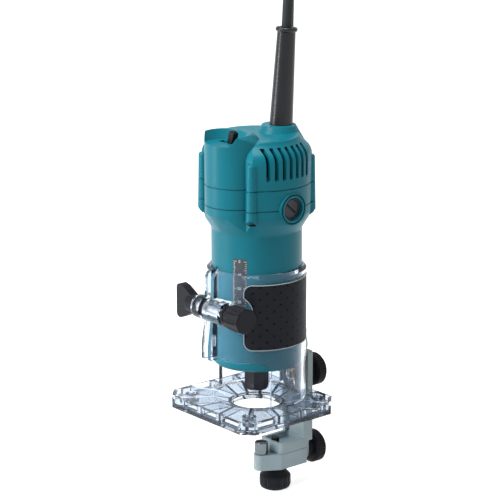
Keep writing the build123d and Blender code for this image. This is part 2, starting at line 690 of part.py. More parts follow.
def make_brush_caps():
    """Two screw caps with a driver slot, one over each brush."""
    made = []
    for side in (-1, 1):
        x0, x1 = sorted((side * (BRUSH_CAP_FACE_X - BRUSH_CAP_H), side * BRUSH_CAP_FACE_X))
        cap = cyl_x(BRUSH_CAP_R - 0.05, x0, x1, z=LOWER_PARTING_Z)
        face0, face1 = sorted((side * (BRUSH_CAP_FACE_X - 0.8), side * 50))
        cap -= cyl_x(6.9, face0, face1, z=LOWER_PARTING_Z) - cyl_x(6.4, face0, face1,
                                                                  z=LOWER_PARTING_Z)
        slot0, slot1 = sorted((side * (BRUSH_CAP_FACE_X - 1.6), side * 50))
        slot = box(slot0, slot1, -5.2, 5.2, -0.7, 0.7)
        made.append(cap - Pos(0, 0, LOWER_PARTING_Z) * Rot(-42 * side, 0, 0) * slot)
    return made


def make_switch_body():
    """The switch inside the tower, on a flange between its walls, with the lever's pocket."""
    z0 = SWITCH_BOTTOM_Z
    body = box(-11, 11, LEVER_Y - 6, LEVER_Y + 6, z0, LEVER_PIVOT_Z + 3)
    flange = box(-TOWER_R, TOWER_R, LEVER_Y - 4, LEVER_Y + 4, z0, z0 + 3)
    body += flange & tower(z0, z0 + 3, HEAD_WALL + 0.1)
    body -= box(-7.5, 7.5, LEVER_Y - LEVER_T / 2 - 0.3, LEVER_Y + LEVER_T / 2 + 0.3,
                LEVER_PIVOT_Z - 5, LEVER_PIVOT_Z + 5)
    return body - cyl_y(LEVER_PIN_R, LEVER_Y - 7, LEVER_Y + 7, z=LEVER_PIVOT_Z)


def make_lever_pin():
    """The pin across the switch that the lever turns on."""
    return cyl_y(LEVER_PIN_R, LEVER_Y - 6, LEVER_Y + 6, z=LEVER_PIVOT_Z)


def make_cord_clamp():
    """The bar that grips the cord, screwed up against two posts in the cover."""
    body = box(-CLAMP_POST_X - 3, CLAMP_POST_X + 3, BOSS_Y - 4, BOSS_Y + 4,
               CORD_CLAMP_Z - 5, CORD_CLAMP_Z)
    return body - guard_placed(cyl(CORD_D / 2, -40, 0))


# ---------------------------------------------------------------- spindle
def make_armature_shaft():
    """The one steel shaft: bearing seats, rotor seat and the taper that holds the collet."""
    low = HOUSING_BOTTOM_Z + HOUSING_FLOOR
    high = UPPER_PARTING_Z - BEARING_TOP_H - 0.2
    nut_top = COLLET_NUT_BOTTOM_Z + COLLET_NUT_H
    shaft = turned([
        (0, COLLET_NUT_BOTTOM_Z + 6), (SPINDLE_R - 0.6, COLLET_NUT_BOTTOM_Z + 6),
        (SPINDLE_R - 0.6, nut_top), (SPINDLE_R + 1.4, nut_top + 0.5), (SPINDLE_R + 1.4, low - 0.2),
        (SPINDLE_R, low - 0.2), (SPINDLE_R, low + BEARING_LOW_H + 3), (5, low + BEARING_LOW_H + 3),
        (5, high), (BEARING_TOP_BORE_R, high),
        (BEARING_TOP_BORE_R, UPPER_PARTING_Z + 1), (0, UPPER_PARTING_Z + 1),
    ])
    return shaft - cyl(COLLET_BORE_R + 1.6, 0, nut_top + 14)


def make_armature_core():
    """The rotor's laminated core with its windings' ends."""
    r = CORE_BORE_R - AIR_GAP
    body = ring(r, 5.0, CORE_BOTTOM_Z, CORE_TOP_Z)
    body += ring(r - 2.5, 5.0, CORE_BOTTOM_Z - 6, CORE_BOTTOM_Z)
    body += ring(r - 2.5, 5.0, CORE_TOP_Z, CORE_TOP_Z + 8)
    return body


def make_commutator():
    """Copper bars round the shaft, parted by thin slots."""
    z0 = LOWER_PARTING_Z - COMMUTATOR_H / 2
    body = ring(COMMUTATOR_R, 5.0, z0, z0 + COMMUTATOR_H)
    for i in range(COMMUTATOR_BARS):
        slot = box(COMMUTATOR_R - 0.8, COMMUTATOR_R + 1, -0.25, 0.25, z0 - 1, z0 + COMMUTATOR_H - 3)
        body -= Rot(0, 0, 360 / COMMUTATOR_BARS * i) * slot
    return body


def make_cooling_fan():
    """The radial fan under the stator."""
    body = ring(FAN_R, 5.0, FAN_Z, FAN_Z + 1.6) + ring(8.5, 5.0, FAN_Z, FAN_Z + FAN_H)
    for i in range(FAN_BLADES):
        blade = box(8, FAN_R - 0.5, -0.7, 0.7, FAN_Z + 1, FAN_Z + FAN_H)
        body += Rot(0, 0, 360 / FAN_BLADES * i) * blade
    return body


def make_collet():
    """The slit collet that closes on the bit's shank."""
    z0, z1 = COLLET_NUT_BOTTOM_Z + 1.0, COLLET_NUT_BOTTOM_Z + 22
    body = turned([
        (COLLET_BORE_R, z0), (COLLET_BORE_R + 2.2, z0), (COLLET_BORE_R + 2.4, z0 + 2.6),
        (COLLET_BORE_R + 1.5, z0 + 4.6), (COLLET_BORE_R + 1.5, z1), (COLLET_BORE_R, z1)])
    return body


def make_collet_nut():
    """The hexagonal nut that closes the collet, chamfered at both ends."""
    z0, z1 = COLLET_NUT_BOTTOM_Z, COLLET_NUT_BOTTOM_Z + COLLET_NUT_H
    corner = COLLET_AF / 2 / math.cos(math.radians(30))
    nut = Pos(0, 0, z0) * extrude(Rot(0, 0, 9) * RegularPolygon(corner, 6), COLLET_NUT_H)
    nut &= turned([
        (0, z0), (corner - 1.6, z0), (corner, z0 + 1.4), (corner, z1 - 3.2),
        (corner - 2.2, z1), (0, z1)])
    nut -= cyl(COLLET_BORE_R + 2.6, z0 - 1, z0 + 6)
    nut -= cyl(SPINDLE_R - 0.6 + THREAD_GAP, z0 + 5.9, z1 + 1)
    return nut


# ---------------------------------------------------------------- clear base
def base_outline(inset=0.0):
    """The base's rectangle with chamfered corners."""
    w, d, c = BASE_W - 2 * inset, BASE_D - 2 * inset, BASE_CHAMFER - 0.6 * inset
    return Pos(0, BASE_Y, 0) * chamfer(Rectangle(w, d).vertices(), c)


def base_prism(z0, z1, inset=0.0):
    """The outline drawn up between two heights."""
    return Pos(0, 0, z0) * extrude(base_outline(inset), z1 - z0)


def sole_screw_places():
    """Where the four sole screws stand."""
    return [(x, y) for x in (-SOLE_SCREW_X, SOLE_SCREW_X)
            for y in (SOLE_SCREW_FRONT_Y, SOLE_SCREW_BACK_Y)]


def rib_bearings():
    """Bearings of the radial ribs."""
    return [RIB_START + 360 / RIB_COUNT * i for i in range(RIB_COUNT)]


def make_base_frame():
    """The ribbed upper layer of the base: a dished skin over radial ribs and an open rim."""
    z0, z1 = SOLE_T, BASE_TOP_Z
    dish = turned([
        (0, DISH_Z), (BIT_HOLE_R + 2.2, DISH_Z), (DISH_R, z1), (DISH_R, z1 + 5), (0, z1 + 5)])
    full = base_prism(z0, z1) - dish
    skin = full - Pos(0, 0, -SKIN_T) * full
    keep = base_prism(z0, z1) - base_prism(z0 - 1, z1 + 1, RIM_T)
    keep += cyl(BIT_HOLE_R + 2.2, z0, z1)
    for bearing in rib_bearings():
        keep += Rot(0, 0, bearing) * box(-RIB_T / 2, RIB_T / 2, -70, -BIT_HOLE_R, z0, z1)
    for x, y in sole_screw_places():
        keep += cyl(5.0, z0, z1, x, y)
    frame = skin + (full & keep)
    for bearing in rib_bearings():
        frame -= rim_window(bearing + 180 / RIB_COUNT)
    return frame - cyl(BIT_HOLE_R, z0 - 1, z1 + 1)


def rim_window(bearing):
    """One opening through the rim between two ribs, on whichever edge the bearing meets."""
    b = math.radians(bearing)
    half_w, half_d = BASE_W / 2, BASE_D / 2
    dx, dy = math.sin(b), -math.cos(b)
    to_x = half_w / abs(dx) if abs(dx) > 1e-6 else 1e6
    to_y = (half_d + BASE_Y * (1 if dy > 0 else -1)) / abs(dy) if abs(dy) > 1e-6 else 1e6
    reach = min(to_x, to_y)
    half = reach * math.tan(math.radians(180 / RIB_COUNT)) * 0.72
    z0, z1 = SOLE_T + 1.2, BASE_TOP_Z - SKIN_T
    x, y = reach * dx, reach * dy
    corner = BASE_CHAMFER + 2
    if to_x < to_y:
        low = max(y - half, BASE_Y - half_d + corner)
        high = min(y + half, BASE_Y + half_d - corner)
        x0, x1 = sorted((x - math.copysign(RIM_T + 1, x), x + math.copysign(1, x)))
        return box(x0, x1, low, high, z0, z1)
    low, high = max(x - half, -half_w + corner), min(x + half, half_w - corner)
    y0, y1 = sorted((y - math.copysign(RIM_T + 1, y), y + math.copysign(1, y)))
    return box(low, high, y0, y1, z0, z1)


def lug_tube(x0, x1):
    """One barrel of the clamp, with a web back to the sleeve."""
    tube = cyl_x(LUG_R, x0, x1, ROD_Y, ROD_Z)
    web = box(x0, x1, ROD_Y, -SLEEVE_IN_R + 4, ROD_Z - LUG_R, ROD_Z + LUG_R)
    return tube + web


def clamp_flange(x0, x1):
    """One of the two fins beside the slit, rounded at the top and wider towards its foot."""
    back, top = -SLEEVE_IN_R + 4, SLEEVE_TOP_Z - 0.5
    face = Polyline(
        (x0, back, SLEEVE_FRONT_Z), (x0, FLANGE_FOOT_Y, SLEEVE_FRONT_Z), (x0, FLANGE_FOOT_Y, 54.0),
        (x0, FLANGE_Y - 1.0, ROD_Z - 12), (x0, FLANGE_Y, ROD_Z + 12), (x0, FLANGE_Y, top - FLANGE_ROUND),
        (x0, FLANGE_Y + 0.3 * FLANGE_ROUND, top - 0.3 * FLANGE_ROUND),
        (x0, FLANGE_Y + FLANGE_ROUND, top), (x0, back, top), close=True)
    return extrude(make_face(face), x1 - x0, dir=(1, 0, 0))


def make_clear_base():
    """The polycarbonate moulding: split sleeve, clamp lugs, rear wall and ribbed foot."""
    sleeve = cyl(SLEEVE_R, BASE_TOP_Z - 2, SLEEVE_TOP_Z)
    sleeve &= cone(SLEEVE_R + 40, SLEEVE_R - 2, SLEEVE_TOP_Z - 42, SLEEVE_TOP_Z) + cyl(
        SLEEVE_R, 0, SLEEVE_TOP_Z - 10)
    left, right = SLIT_X - SLIT_W / 2, SLIT_X + SLIT_W / 2
    body = sleeve
    for x0 in (left - FLANGE_T, right):
        body += clamp_flange(x0, x0 + FLANGE_T)
    body += lug_tube(LUG_LEFT_X, left) + lug_tube(right, LUG_RIGHT_X)
    body += box(-REAR_LUG_W / 2, REAR_LUG_W / 2, SLEEVE_IN_R - 4, BASE_BACK_Y,
                BASE_TOP_Z - 1, REAR_LUG_TOP_Z)
    body -= cyl(SLEEVE_IN_R, BASE_TOP_Z - 5, SLEEVE_TOP_Z + 1)
    body -= front_window()
    body += make_base_frame()
    body -= box(left, right, -60, -SLEEVE_IN_R + 6, SLEEVE_FRONT_Z - 1, SLEEVE_TOP_Z + 1)
    body -= cyl_x(ROD_R + THREAD_GAP, LUG_LEFT_X - 1, LUG_RIGHT_X + 1, ROD_Y, ROD_Z)
    body -= grip_band(SLEEVE_R - GRIP_T, SLEEVE_R + 2)
    body -= cyl_y(THREAD_R + 1.2, SLEEVE_IN_R, BASE_BACK_Y + 1, z=CLAMP_A_Z)
    for x, y in sole_screw_places():
        body -= cyl(SOLE_SCREW_R - 0.2, SOLE_T - 1, BASE_TOP_Z + 1, x, y)
    return body


def front_window():
    """The front of the sleeve is open below its lower rim, with rounded upper corners."""
    z0, z1 = BASE_TOP_Z, SLEEVE_FRONT_Z
    corner = math.degrees(WINDOW_CORNER_R / SLEEVE_R)
    cut = sector(WINDOW_FROM, WINDOW_TO, 60, z0, z1 - WINDOW_CORNER_R)
    cut += sector(WINDOW_FROM + corner, WINDOW_TO - corner, 60, z1 - WINDOW_CORNER_R, z1)
    for bearing in (WINDOW_FROM + corner, WINDOW_TO - corner):
        cut += Rot(0, 0, bearing) * cyl_y(WINDOW_CORNER_R, -60, -20, z=z1 - WINDOW_CORNER_R)
    return cut - cyl(SLEEVE_IN_R - 6, z0 - 1, z1 + 1)


def grip_band(r_in, r_out, inset=0.0):
    """The rubber grip's band, with rounded corners and a notch round the depth knob."""
    z0, z1 = GRIP_BOTTOM_Z + inset, GRIP_TOP_Z - inset
    turn = math.degrees(GRIP_CORNER_R / SLEEVE_R)
    a0, a1 = GRIP_FROM, GRIP_TO
    pie = sector(a0 + turn, a1 - turn, 60, z0, z1)
    pie += sector(a0, a1, 60, z0 + GRIP_CORNER_R, z1 - GRIP_CORNER_R)
    for bearing in (a0 + turn, a1 - turn):
        for z in (z0 + GRIP_CORNER_R, z1 - GRIP_CORNER_R):
            pie += Rot(0, 0, bearing) * cyl_y(GRIP_CORNER_R, -60, -10, z=z)
    pie -= Rot(0, 0, GRIP_NOTCH_AT) * cyl_y(GRIP_NOTCH_R - inset, -60, -10, z=ROD_Z)
    return ring(r_out, r_in, z0, z1) & pie


def make_grip_pad():
    """The rubber grip let into the sleeve's outside."""
    return grip_band(SLEEVE_R - GRIP_T, SLEEVE_R)


def make_sole_plate():
    """The flat clear plate under the base."""
    plate = base_prism(0, SOLE_T) - cyl(BIT_HOLE_R, -1, SOLE_T + 1)
    for x, y in sole_screw_places():
        plate -= cyl(SOLE_SCREW_R + 0.2, -1, SOLE_T + 1, x, y)
        plate -= cone(SOLE_SCREW_R * 2.1, SOLE_SCREW_R, 0, SOLE_SCREW_R * 1.1, x, y)
    return plate


def make_sole_screws():
    """Four countersunk screws that hold the sole plate."""
    made = []
    for x, y in sole_screw_places():
        head = cone(SOLE_SCREW_R * 2.1 - 0.5, SOLE_SCREW_R - 0.2, 0.5, SOLE_SCREW_R * 1.1, x, y)
        made.append(head + cyl(SOLE_SCREW_R - 0.2, SOLE_SCREW_R, BASE_TOP_Z - 0.6, x, y))
    return made


def make_guide_insert():
    """The brass insert in the rear lug that takes the guide's clamp screw."""
    return cyl_y(THREAD_R + 1.2, SLEEVE_IN_R + 1, BASE_BACK_Y, z=CLAMP_A_Z) - cyl_y(
        THREAD_R + THREAD_GAP, SLEEVE_IN_R, BASE_BACK_Y + 1, z=CLAMP_A_Z)


# ---------------------------------------------------------------- depth adjuster and clamp
def make_adjuster_rod():
    """The steel rod through both lugs, threaded for the wing nut at its left end."""
    return cyl_x(ROD_R, WING_END_X + 12, KNOB_END_X - 6, ROD_Y, ROD_Z)


def make_depth_pinion():
    """The pinion on the rod, in the slit, in mesh with the rack on the housing."""
    root, tip = PINION_PITCH_R - 1.15 * GEAR_MODULE, PINION_TIP_R
    points = []
    for i in range(PINION_TEETH):
        middle = 2 * math.pi * (i + 0.5) / PINION_TEETH
        step = 2 * math.pi / PINION_TEETH
        for shift, r in ((-0.3, root), (-0.12, tip), (0.12, tip), (0.3, root)):
            a = middle + shift * step
            points.append((r * math.cos(a), r * math.sin(a)))
    gear = extrude(make_face(Polyline(*points, close=True)), PINION_W)
    gear -= cyl(ROD_R, -1, PINION_W + 1)
    return Pos(SLIT_X - PINION_W / 2, ROD_Y, ROD_Z) * Rot(0, 90, 0) * Rot(0, 0, 90) * gear


def make_adjuster_knob():
    """The plastic knob on the rod's right end: a collar, a fluted grip and an eight-sided end."""
    start = LUG_RIGHT_X + 0.5
    length = KNOB_END_X - start
    grip = extrude(RegularPolygon(KNOB_R + 0.3, KNOB_FACETS), length)
    for i in range(KNOB_FACETS):
        a = 2 * math.pi * i / KNOB_FACETS
        flute = cyl(KNOB_FLUTE_R, -1, length - 3.6, KNOB_R * math.cos(a), KNOB_R * math.sin(a))
        grip -= flute + Pos(KNOB_R * math.cos(a), KNOB_R * math.sin(a), length - 3.6) * Sphere(
            KNOB_FLUTE_R)
    knob = grip & turned([
        (0, 4.6), (KNOB_R - 1.4, 4.6), (KNOB_R - 0.5, 6.0), (KNOB_R + 0.3, length - 1.4),
        (KNOB_R - 1.2, length), (0, length)])
    knob += cyl(KNOB_NECK_R, 0.8, 3.0) + cyl(KNOB_NECK_R - 0.7, 0, 5.0)
    knob -= cyl(ROD_R, -1, length - 6)
    return Pos(start, ROD_Y, ROD_Z) * Rot(0, 90, 0) * knob


def make_wing_nut():
    """The black wing nut: a round hub that flares into two wings at its outer end."""
    hub_x = LUG_LEFT_X - 0.8
    neck_x = hub_x - 4
    upper = [
        (WING_END_X, WING_HALF_H - 3.0), (WING_END_X + 0.8, WING_HALF_H - 1.0),
        (WING_END_X + 3.0, WING_HALF_H), (WING_END_X + 7.0, WING_HALF_H - 1.0),
        (WING_END_X + 12.0, 0.72 * WING_HALF_H), (WING_END_X + 15.5, 0.55 * WING_HALF_H),
        (neck_x, WING_HUB_R - 0.8)]
    lower = [(x, -z) for x, z in reversed(upper)]
    flat = make_face(Polyline(*upper, *lower, close=True))
    wings = Plane.XZ * extrude(flat, WING_T / 2 - 1.2, both=True)
    for side in (1, -1):
        rounded = extrude(Pos(0, 0, side * (WING_T / 2 - 1.2)) * flat, side * 1.2, taper=30)
        wings += Plane.XZ * rounded
    nut = wings + cyl_x(WING_HUB_R, WING_END_X + 13, hub_x)
    nut -= cyl_x(ROD_R + THREAD_GAP, WING_END_X + 10, 0)
    return Pos(0, ROD_Y, ROD_Z) * nut


def make_clamp_washers():
    """A plain washer against the left lug."""
    return cyl_x(6.0, LUG_LEFT_X - 0.7, LUG_LEFT_X, ROD_Y, ROD_Z) - cyl_x(
        ROD_R + 0.2, LUG_LEFT_X - 2, LUG_LEFT_X + 1, ROD_Y, ROD_Z)


# ---------------------------------------------------------------- switch
def make_switch_lever():
    """The black lever in its slot, tilted to the off side."""
    body = box(-LEVER_W / 2, LEVER_W / 2, -LEVER_T / 2, LEVER_T / 2, -2.5, LEVER_TOP_Z - LEVER_PIVOT_Z)
    top = body.faces().sort_by(Axis.Z)[-1]
    body = fillet(top.edges(), 1.7)
    body += cyl_y(3.4, -LEVER_T / 2, LEVER_T / 2)
    body -= cyl_y(LEVER_PIN_R + RUNNING_GAP, -LEVER_T, LEVER_T)
    return Pos(0, LEVER_Y, LEVER_PIVOT_Z) * Rot(0, LEVER_TILT, 0) * body


# ---------------------------------------------------------------- trimmer guide
def make_guide_holder():
    """The die-cast holder: an upright plate with an open tray that stands out under the sole."""
    y0, y1 = BASE_BACK_Y, BASE_BACK_Y + GUIDE_PLATE_T
    w, s = GUIDE_HALF_W, GUIDE_STRIP_HALF_W
    plate = box(-w, w, y0, y1, GUIDE_STEP_Z, GUIDE_PLATE_TOP_Z)
    plate = fillet(plate.edges().filter_by(Axis.Y).group_by(Axis.Z)[-1], 2.0)
    plate += box(-s, s, y0, y1, ADJUSTER_Z, GUIDE_STEP_Z) + cyl_y(s, y0, y1, z=ADJUSTER_Z)
    tray = box(-w, w, TRAY_FRONT_Y, y0, TRAY_BOTTOM_Z, TRAY_TOP_Z)
    tray = fillet(tray.edges().filter_by(Axis.Z).group_by(Axis.Y)[0], 3.2)
    inside = box(-w + TRAY_WALL, w - TRAY_WALL, TRAY_FRONT_Y + TRAY_WALL, y0 - 1,
                 TRAY_BOTTOM_Z + TRAY_FLOOR, TRAY_TOP_Z + 1)
    inside = fillet(inside.edges().filter_by(Axis.Z), 2.0)
    tray -= inside
    ribs = box(-w, -w + TRAY_WALL, y0 - 3.5, y0, TRAY_TOP_Z, -4)
    ribs += box(w - TRAY_WALL, w, y0 - 3.5, y0, TRAY_TOP_Z, -4)
    body = plate + tray + ribs
    slot_r = THREAD_R + 0.3
    body -= cyl_y(slot_r, y0 - 1, y1 + 1, z=CLAMP_A_Z - 7) + cyl_y(
        slot_r, y0 - 1, y1 + 1, z=CLAMP_A_Z + 7) + box(
        -slot_r, slot_r, y0 - 1, y1 + 1, CLAMP_A_Z - 7, CLAMP_A_Z + 7)
    body -= cyl_y(THREAD_R + THREAD_GAP, y0 - 1, y1 + 1, z=ADJUSTER_Z)
    body -= cyl(THREAD_R + THREAD_GAP, TRAY_BOTTOM_Z - 1, TRAY_TOP_Z, y=CLAMP_B_Y)
    return body


def make_guide_arm():
    """The sliding arm: a block whose nose narrows to the roller."""
    z0, z1 = ARM_BOTTOM_Z, TRAY_BOTTOM_Z - ARM_GAP
    w = GUIDE_HALF_W
    reach = ARM_SHOULDER_Y - ROLLER_Y
    tangent = math.atan2(reach, w) + math.asin(NOSE_R / math.hypot(reach, w))
    nx, ny = NOSE_R * math.sin(tangent), ROLLER_Y - NOSE_R * math.cos(tangent)
    outline = [
        Line((-w, ARM_BACK_Y), (w, ARM_BACK_Y)), Line((w, ARM_BACK_Y), (w, ARM_SHOULDER_Y)),
        Line((w, ARM_SHOULDER_Y), (nx, ny)),
        ThreePointArc((nx, ny), (0, ROLLER_Y - NOSE_R), (-nx, ny)),
        Line((-nx, ny), (-w, ARM_SHOULDER_Y)), Line((-w, ARM_SHOULDER_Y), (-w, ARM_BACK_Y))]
    body = Pos(0, 0, z0) * extrude(make_face(outline), z1 - z0)
    slot_r = THREAD_R + 0.4
    front, back = CLAMP_B_Y, CLAMP_B_Y + ARM_TRAVEL + 0.4
    body -= cyl(slot_r, z0 - 1, z1 + 1, y=front) + cyl(slot_r, z0 - 1, z1 + 1, y=back) + box(
        -slot_r, slot_r, front, back, z0 - 1, z1 + 1)
    body -= cyl_y(THREAD_R + THREAD_GAP, back - 1, ARM_BACK_Y + 1, z=ADJUSTER_Z)
    body -= cyl(1.9, z0 + 3, z1 + 1, y=ROLLER_Y)
    return body


def make_roller_pin():
    """The steel pin that the roller turns on."""
    z = TRAY_BOTTOM_Z - ARM_GAP
    return cyl(1.9, ARM_BOTTOM_Z + 3, ROLLER_TOP_Z - 2.6, y=ROLLER_Y) + cyl(
        3.2, ROLLER_TOP_Z - 2.6, ROLLER_TOP_Z - 1.4, y=ROLLER_Y) - cyl(0.9, z + 6, 0, y=ROLLER_Y)


def make_guide_roller():
    """The hardened roller that follows the edge of the work, hollow at the top."""
    z0 = TRAY_BOTTOM_Z - ARM_GAP + 0.3
    body = cyl(ROLLER_R, z0, ROLLER_TOP_Z, y=ROLLER_Y)
    body = chamfer(body.edges().filter_by(GeomType.CIRCLE), 0.4)
    body -= cyl(2.0, z0 - 1, ROLLER_TOP_Z + 1, y=ROLLER_Y)
    return body - cyl(ROLLER_R - 1.1, ROLLER_TOP_Z - 2.9, ROLLER_TOP_Z + 1, y=ROLLER_Y)


def make_rear_knob(tip_y, z):
    """A knurled knob behind the holder, with its threaded shank."""
    length = GUIDE_KNOB_BACK_Y - GUIDE_KNOB_FACE_Y
    knob = knurled(GUIDE_KNOB_R, 0.7, GUIDE_KNOB_FLUTES, length)
    r = GUIDE_KNOB_R
    knob &= turned([
        (0, 0), (r - 2.4, 0), (r, 1.4), (r, length - 1.8), (r - 1.8, length), (0, length)])
    knob = Pos(0, GUIDE_KNOB_FACE_Y, z) * Rot(-90, 0, 0) * knob
    collar_y = BASE_BACK_Y + GUIDE_PLATE_T + 0.3
    knob += cyl_y(7.0, collar_y, GUIDE_KNOB_FACE_Y, z=z)
    return knob + cyl_y(THREAD_R, tip_y, collar_y, z=z)


def make_arm_clamp_screw():
    """The fluted knob under the arm, with its threaded shank up into the tray."""
    length = CLAMP_B_TOP_Z - CLAMP_B_BOTTOM_Z
    r = CLAMP_B_R
    knob = knurled(r, 0.6, CLAMP_B_FLUTES, length)
    knob &= turned([
        (0, 0), (r - 3.0, 0), (r - 0.8, 1.2), (r, 3.2), (r, length - 1.6), (r - 1.4, length),
        (0, length)])
    knob = Pos(0, CLAMP_B_Y, CLAMP_B_BOTTOM_Z) * knob
    knob += cone(r - 1.6, 7.6, CLAMP_B_TOP_Z, CLAMP_B_TOP_Z + 3.4, y=CLAMP_B_Y)
    knob += cyl(7.6, CLAMP_B_TOP_Z + 3.4, ARM_BOTTOM_Z - 0.3, y=CLAMP_B_Y)
    return knob + cyl(THREAD_R, ARM_BOTTOM_Z - 0.3, TRAY_TOP_Z + 2.2, y=CLAMP_B_Y)


# ---------------------------------------------------------------- cord
def stowed(side, away, z):
    """A point by its distance sideways and away from the axis, along the stowed cord's line."""
    b = math.radians(STOW_BEARING)
    return (side * math.cos(b) - away * math.sin(b), side * math.sin(b) + away * math.cos(b), z)


def guard_point(height):
    """A point on the guard's axis, this far above the cover."""
    lean = math.radians(GUARD_LEAN)
    return (0.0, BOSS_Y + height * math.sin(lean), GUARD_BASE_Z + height * math.cos(lean))


def hank_top_z():
    """The hank's upper side, with its lowest turns on the floor."""
    return FLOOR_Z + 2 * hank_end_r()


def hank_end_r():
    """The radius of the hank's rounded ends, outside its outermost turns."""
    return HANK_FOLD_R + (HANK_TURNS_HIGH - 0.5) * CORD_D


def cord_tube(points):
    """A tube of straight runs joined by arcs as large as the runs allow."""
    vectors = [Vector(*p) for p in points]
    radii = []
    for before, here, after in zip(vectors, vectors[1:], vectors[2:]):
        turn = (here - before).get_angle(after - here)
        run = min((here - before).length, (after - here).length)
        radii.append(0.45 * run / math.tan(math.radians(turn / 2)))
    path = FilletPolyline(*vectors, radius=radii) if radii else Line(*vectors)
    tube = sweep(Plane(path @ 0, z_dir=path % 0) * Circle(CORD_D / 2), path)
    section = math.pi * CORD_D ** 2 / 4
    print("cord radii", [round(r, 1) for r in radii], "length", round(path.length, 1),
          "volume over section times length", round(tube.volume / section / path.length, 4))
    return tube


def cord_route():
    """The free cord, from inside the guard, over and down to the hank."""
    return [
        guard_point(GUARD_L - CORD_START), guard_point(GUARD_L + 44),
        stowed(24.8, 60.5, 356.0), stowed(24.9, 111.5, 336.0), stowed(23.8, 122.0, 240.0),
        stowed(21.0, 119.0, 148.0), stowed(25.5, 106.5, 62.0), stowed(35.5, 111.0, 11.0),
        stowed(37.3, 156.0, -3.0),
    ]


def plug_route():
    """The cord's last stretch, from the hank's top into the plug."""
    z = hank_top_z()
    return [stowed(29.75, 108.0, z - 3.8), stowed(29.8, 128.0, z - 1.5),
            stowed(30.0, 150.0, z + PLUG_H / 2)]


def make_mains_cord():
    """The two stretches of the free cord that aren't in the hank."""
    return [cord_tube(cord_route()), cord_tube(plug_route())]


def hank_plane():
    """A plane at the hank's middle, with X along its runs and Y up."""
    b = math.radians(STOW_BEARING)
    middle = stowed(HANK_SIDE, HANK_AWAY, FLOOR_Z + hank_end_r())
    return Plane(middle, x_dir=(-math.sin(b), math.cos(b), 0), z_dir=(math.cos(b), math.sin(b), 0))


def make_cord_hank():
    """The outer shape of the hank: flat turns side by side, folded over at both ends."""
    r = hank_end_r()
    width = HANK_TURNS_WIDE * CORD_D
    outline = hank_plane() * SlotOverall(HANK_RUN + 2 * r, 2 * r)
    hank = extrude(outline, width / 2, both=True)
    return hank - extrude(hank_plane() * SlotOverall(
        HANK_RUN + 2 * HANK_FOLD_R - CORD_D, 2 * HANK_FOLD_R - CORD_D), width / 2 + 1, both=True)


def make_cord_tie():
    """The strap round the middle of the hank."""
    height = HANK_TURNS_HIGH * CORD_D
    made = []
    for side in (-1, 1):
        middle = side * (HANK_FOLD_R + (HANK_TURNS_HIGH - 1) * CORD_D / 2)
        place = hank_plane() * Pos(TIE_AT, middle, 0)
        width = HANK_TURNS_WIDE * CORD_D
        outer = Box(TIE_W, height + 2 * TIE_T, width + 2 * TIE_T)
        made.append(place * (outer - Box(TIE_W + 1, height, width)))
    return made


def plug_plane():
    """The plug's plane: X sideways, Z along its pins."""
    b = math.radians(STOW_BEARING)
    rear = stowed(30.0, 150.0, hank_top_z() + PLUG_H / 2)
    return Plane(rear, x_dir=(math.cos(b), math.sin(b), 0), z_dir=(-math.sin(b), math.cos(b), 0))


def make_plug_body():
    """A plain flat two-pin plug with a tapered strain relief."""
    body = Pos(0, 0, PLUG_L / 2 + 6) * Box(PLUG_W, PLUG_H, PLUG_L - 12)
    body = fillet(body.edges().filter_by(Axis.Z), 4.5)
    body += Pos(0, 0, PLUG_L / 4) * Cone(CORD_D / 2 + 0.8, PLUG_H / 2 - 0.6, PLUG_L / 2)
    for x in (-PIN_PITCH / 2, PIN_PITCH / 2):
        body -= Pos(x, 0, PLUG_L - 2) * Box(1.5, 6.4, 10)
    return plug_plane() * body


def make_plug_pins():
    """Two flat blades, set into the plug's face."""
    made = []
    for x in (-PIN_PITCH / 2, PIN_PITCH / 2):
        made.append(plug_plane() * Pos(x, 0, PLUG_L - 7 + (PIN_L + 5) / 2) * Box(
            1.5, 6.4, PIN_L + 5))
    return made


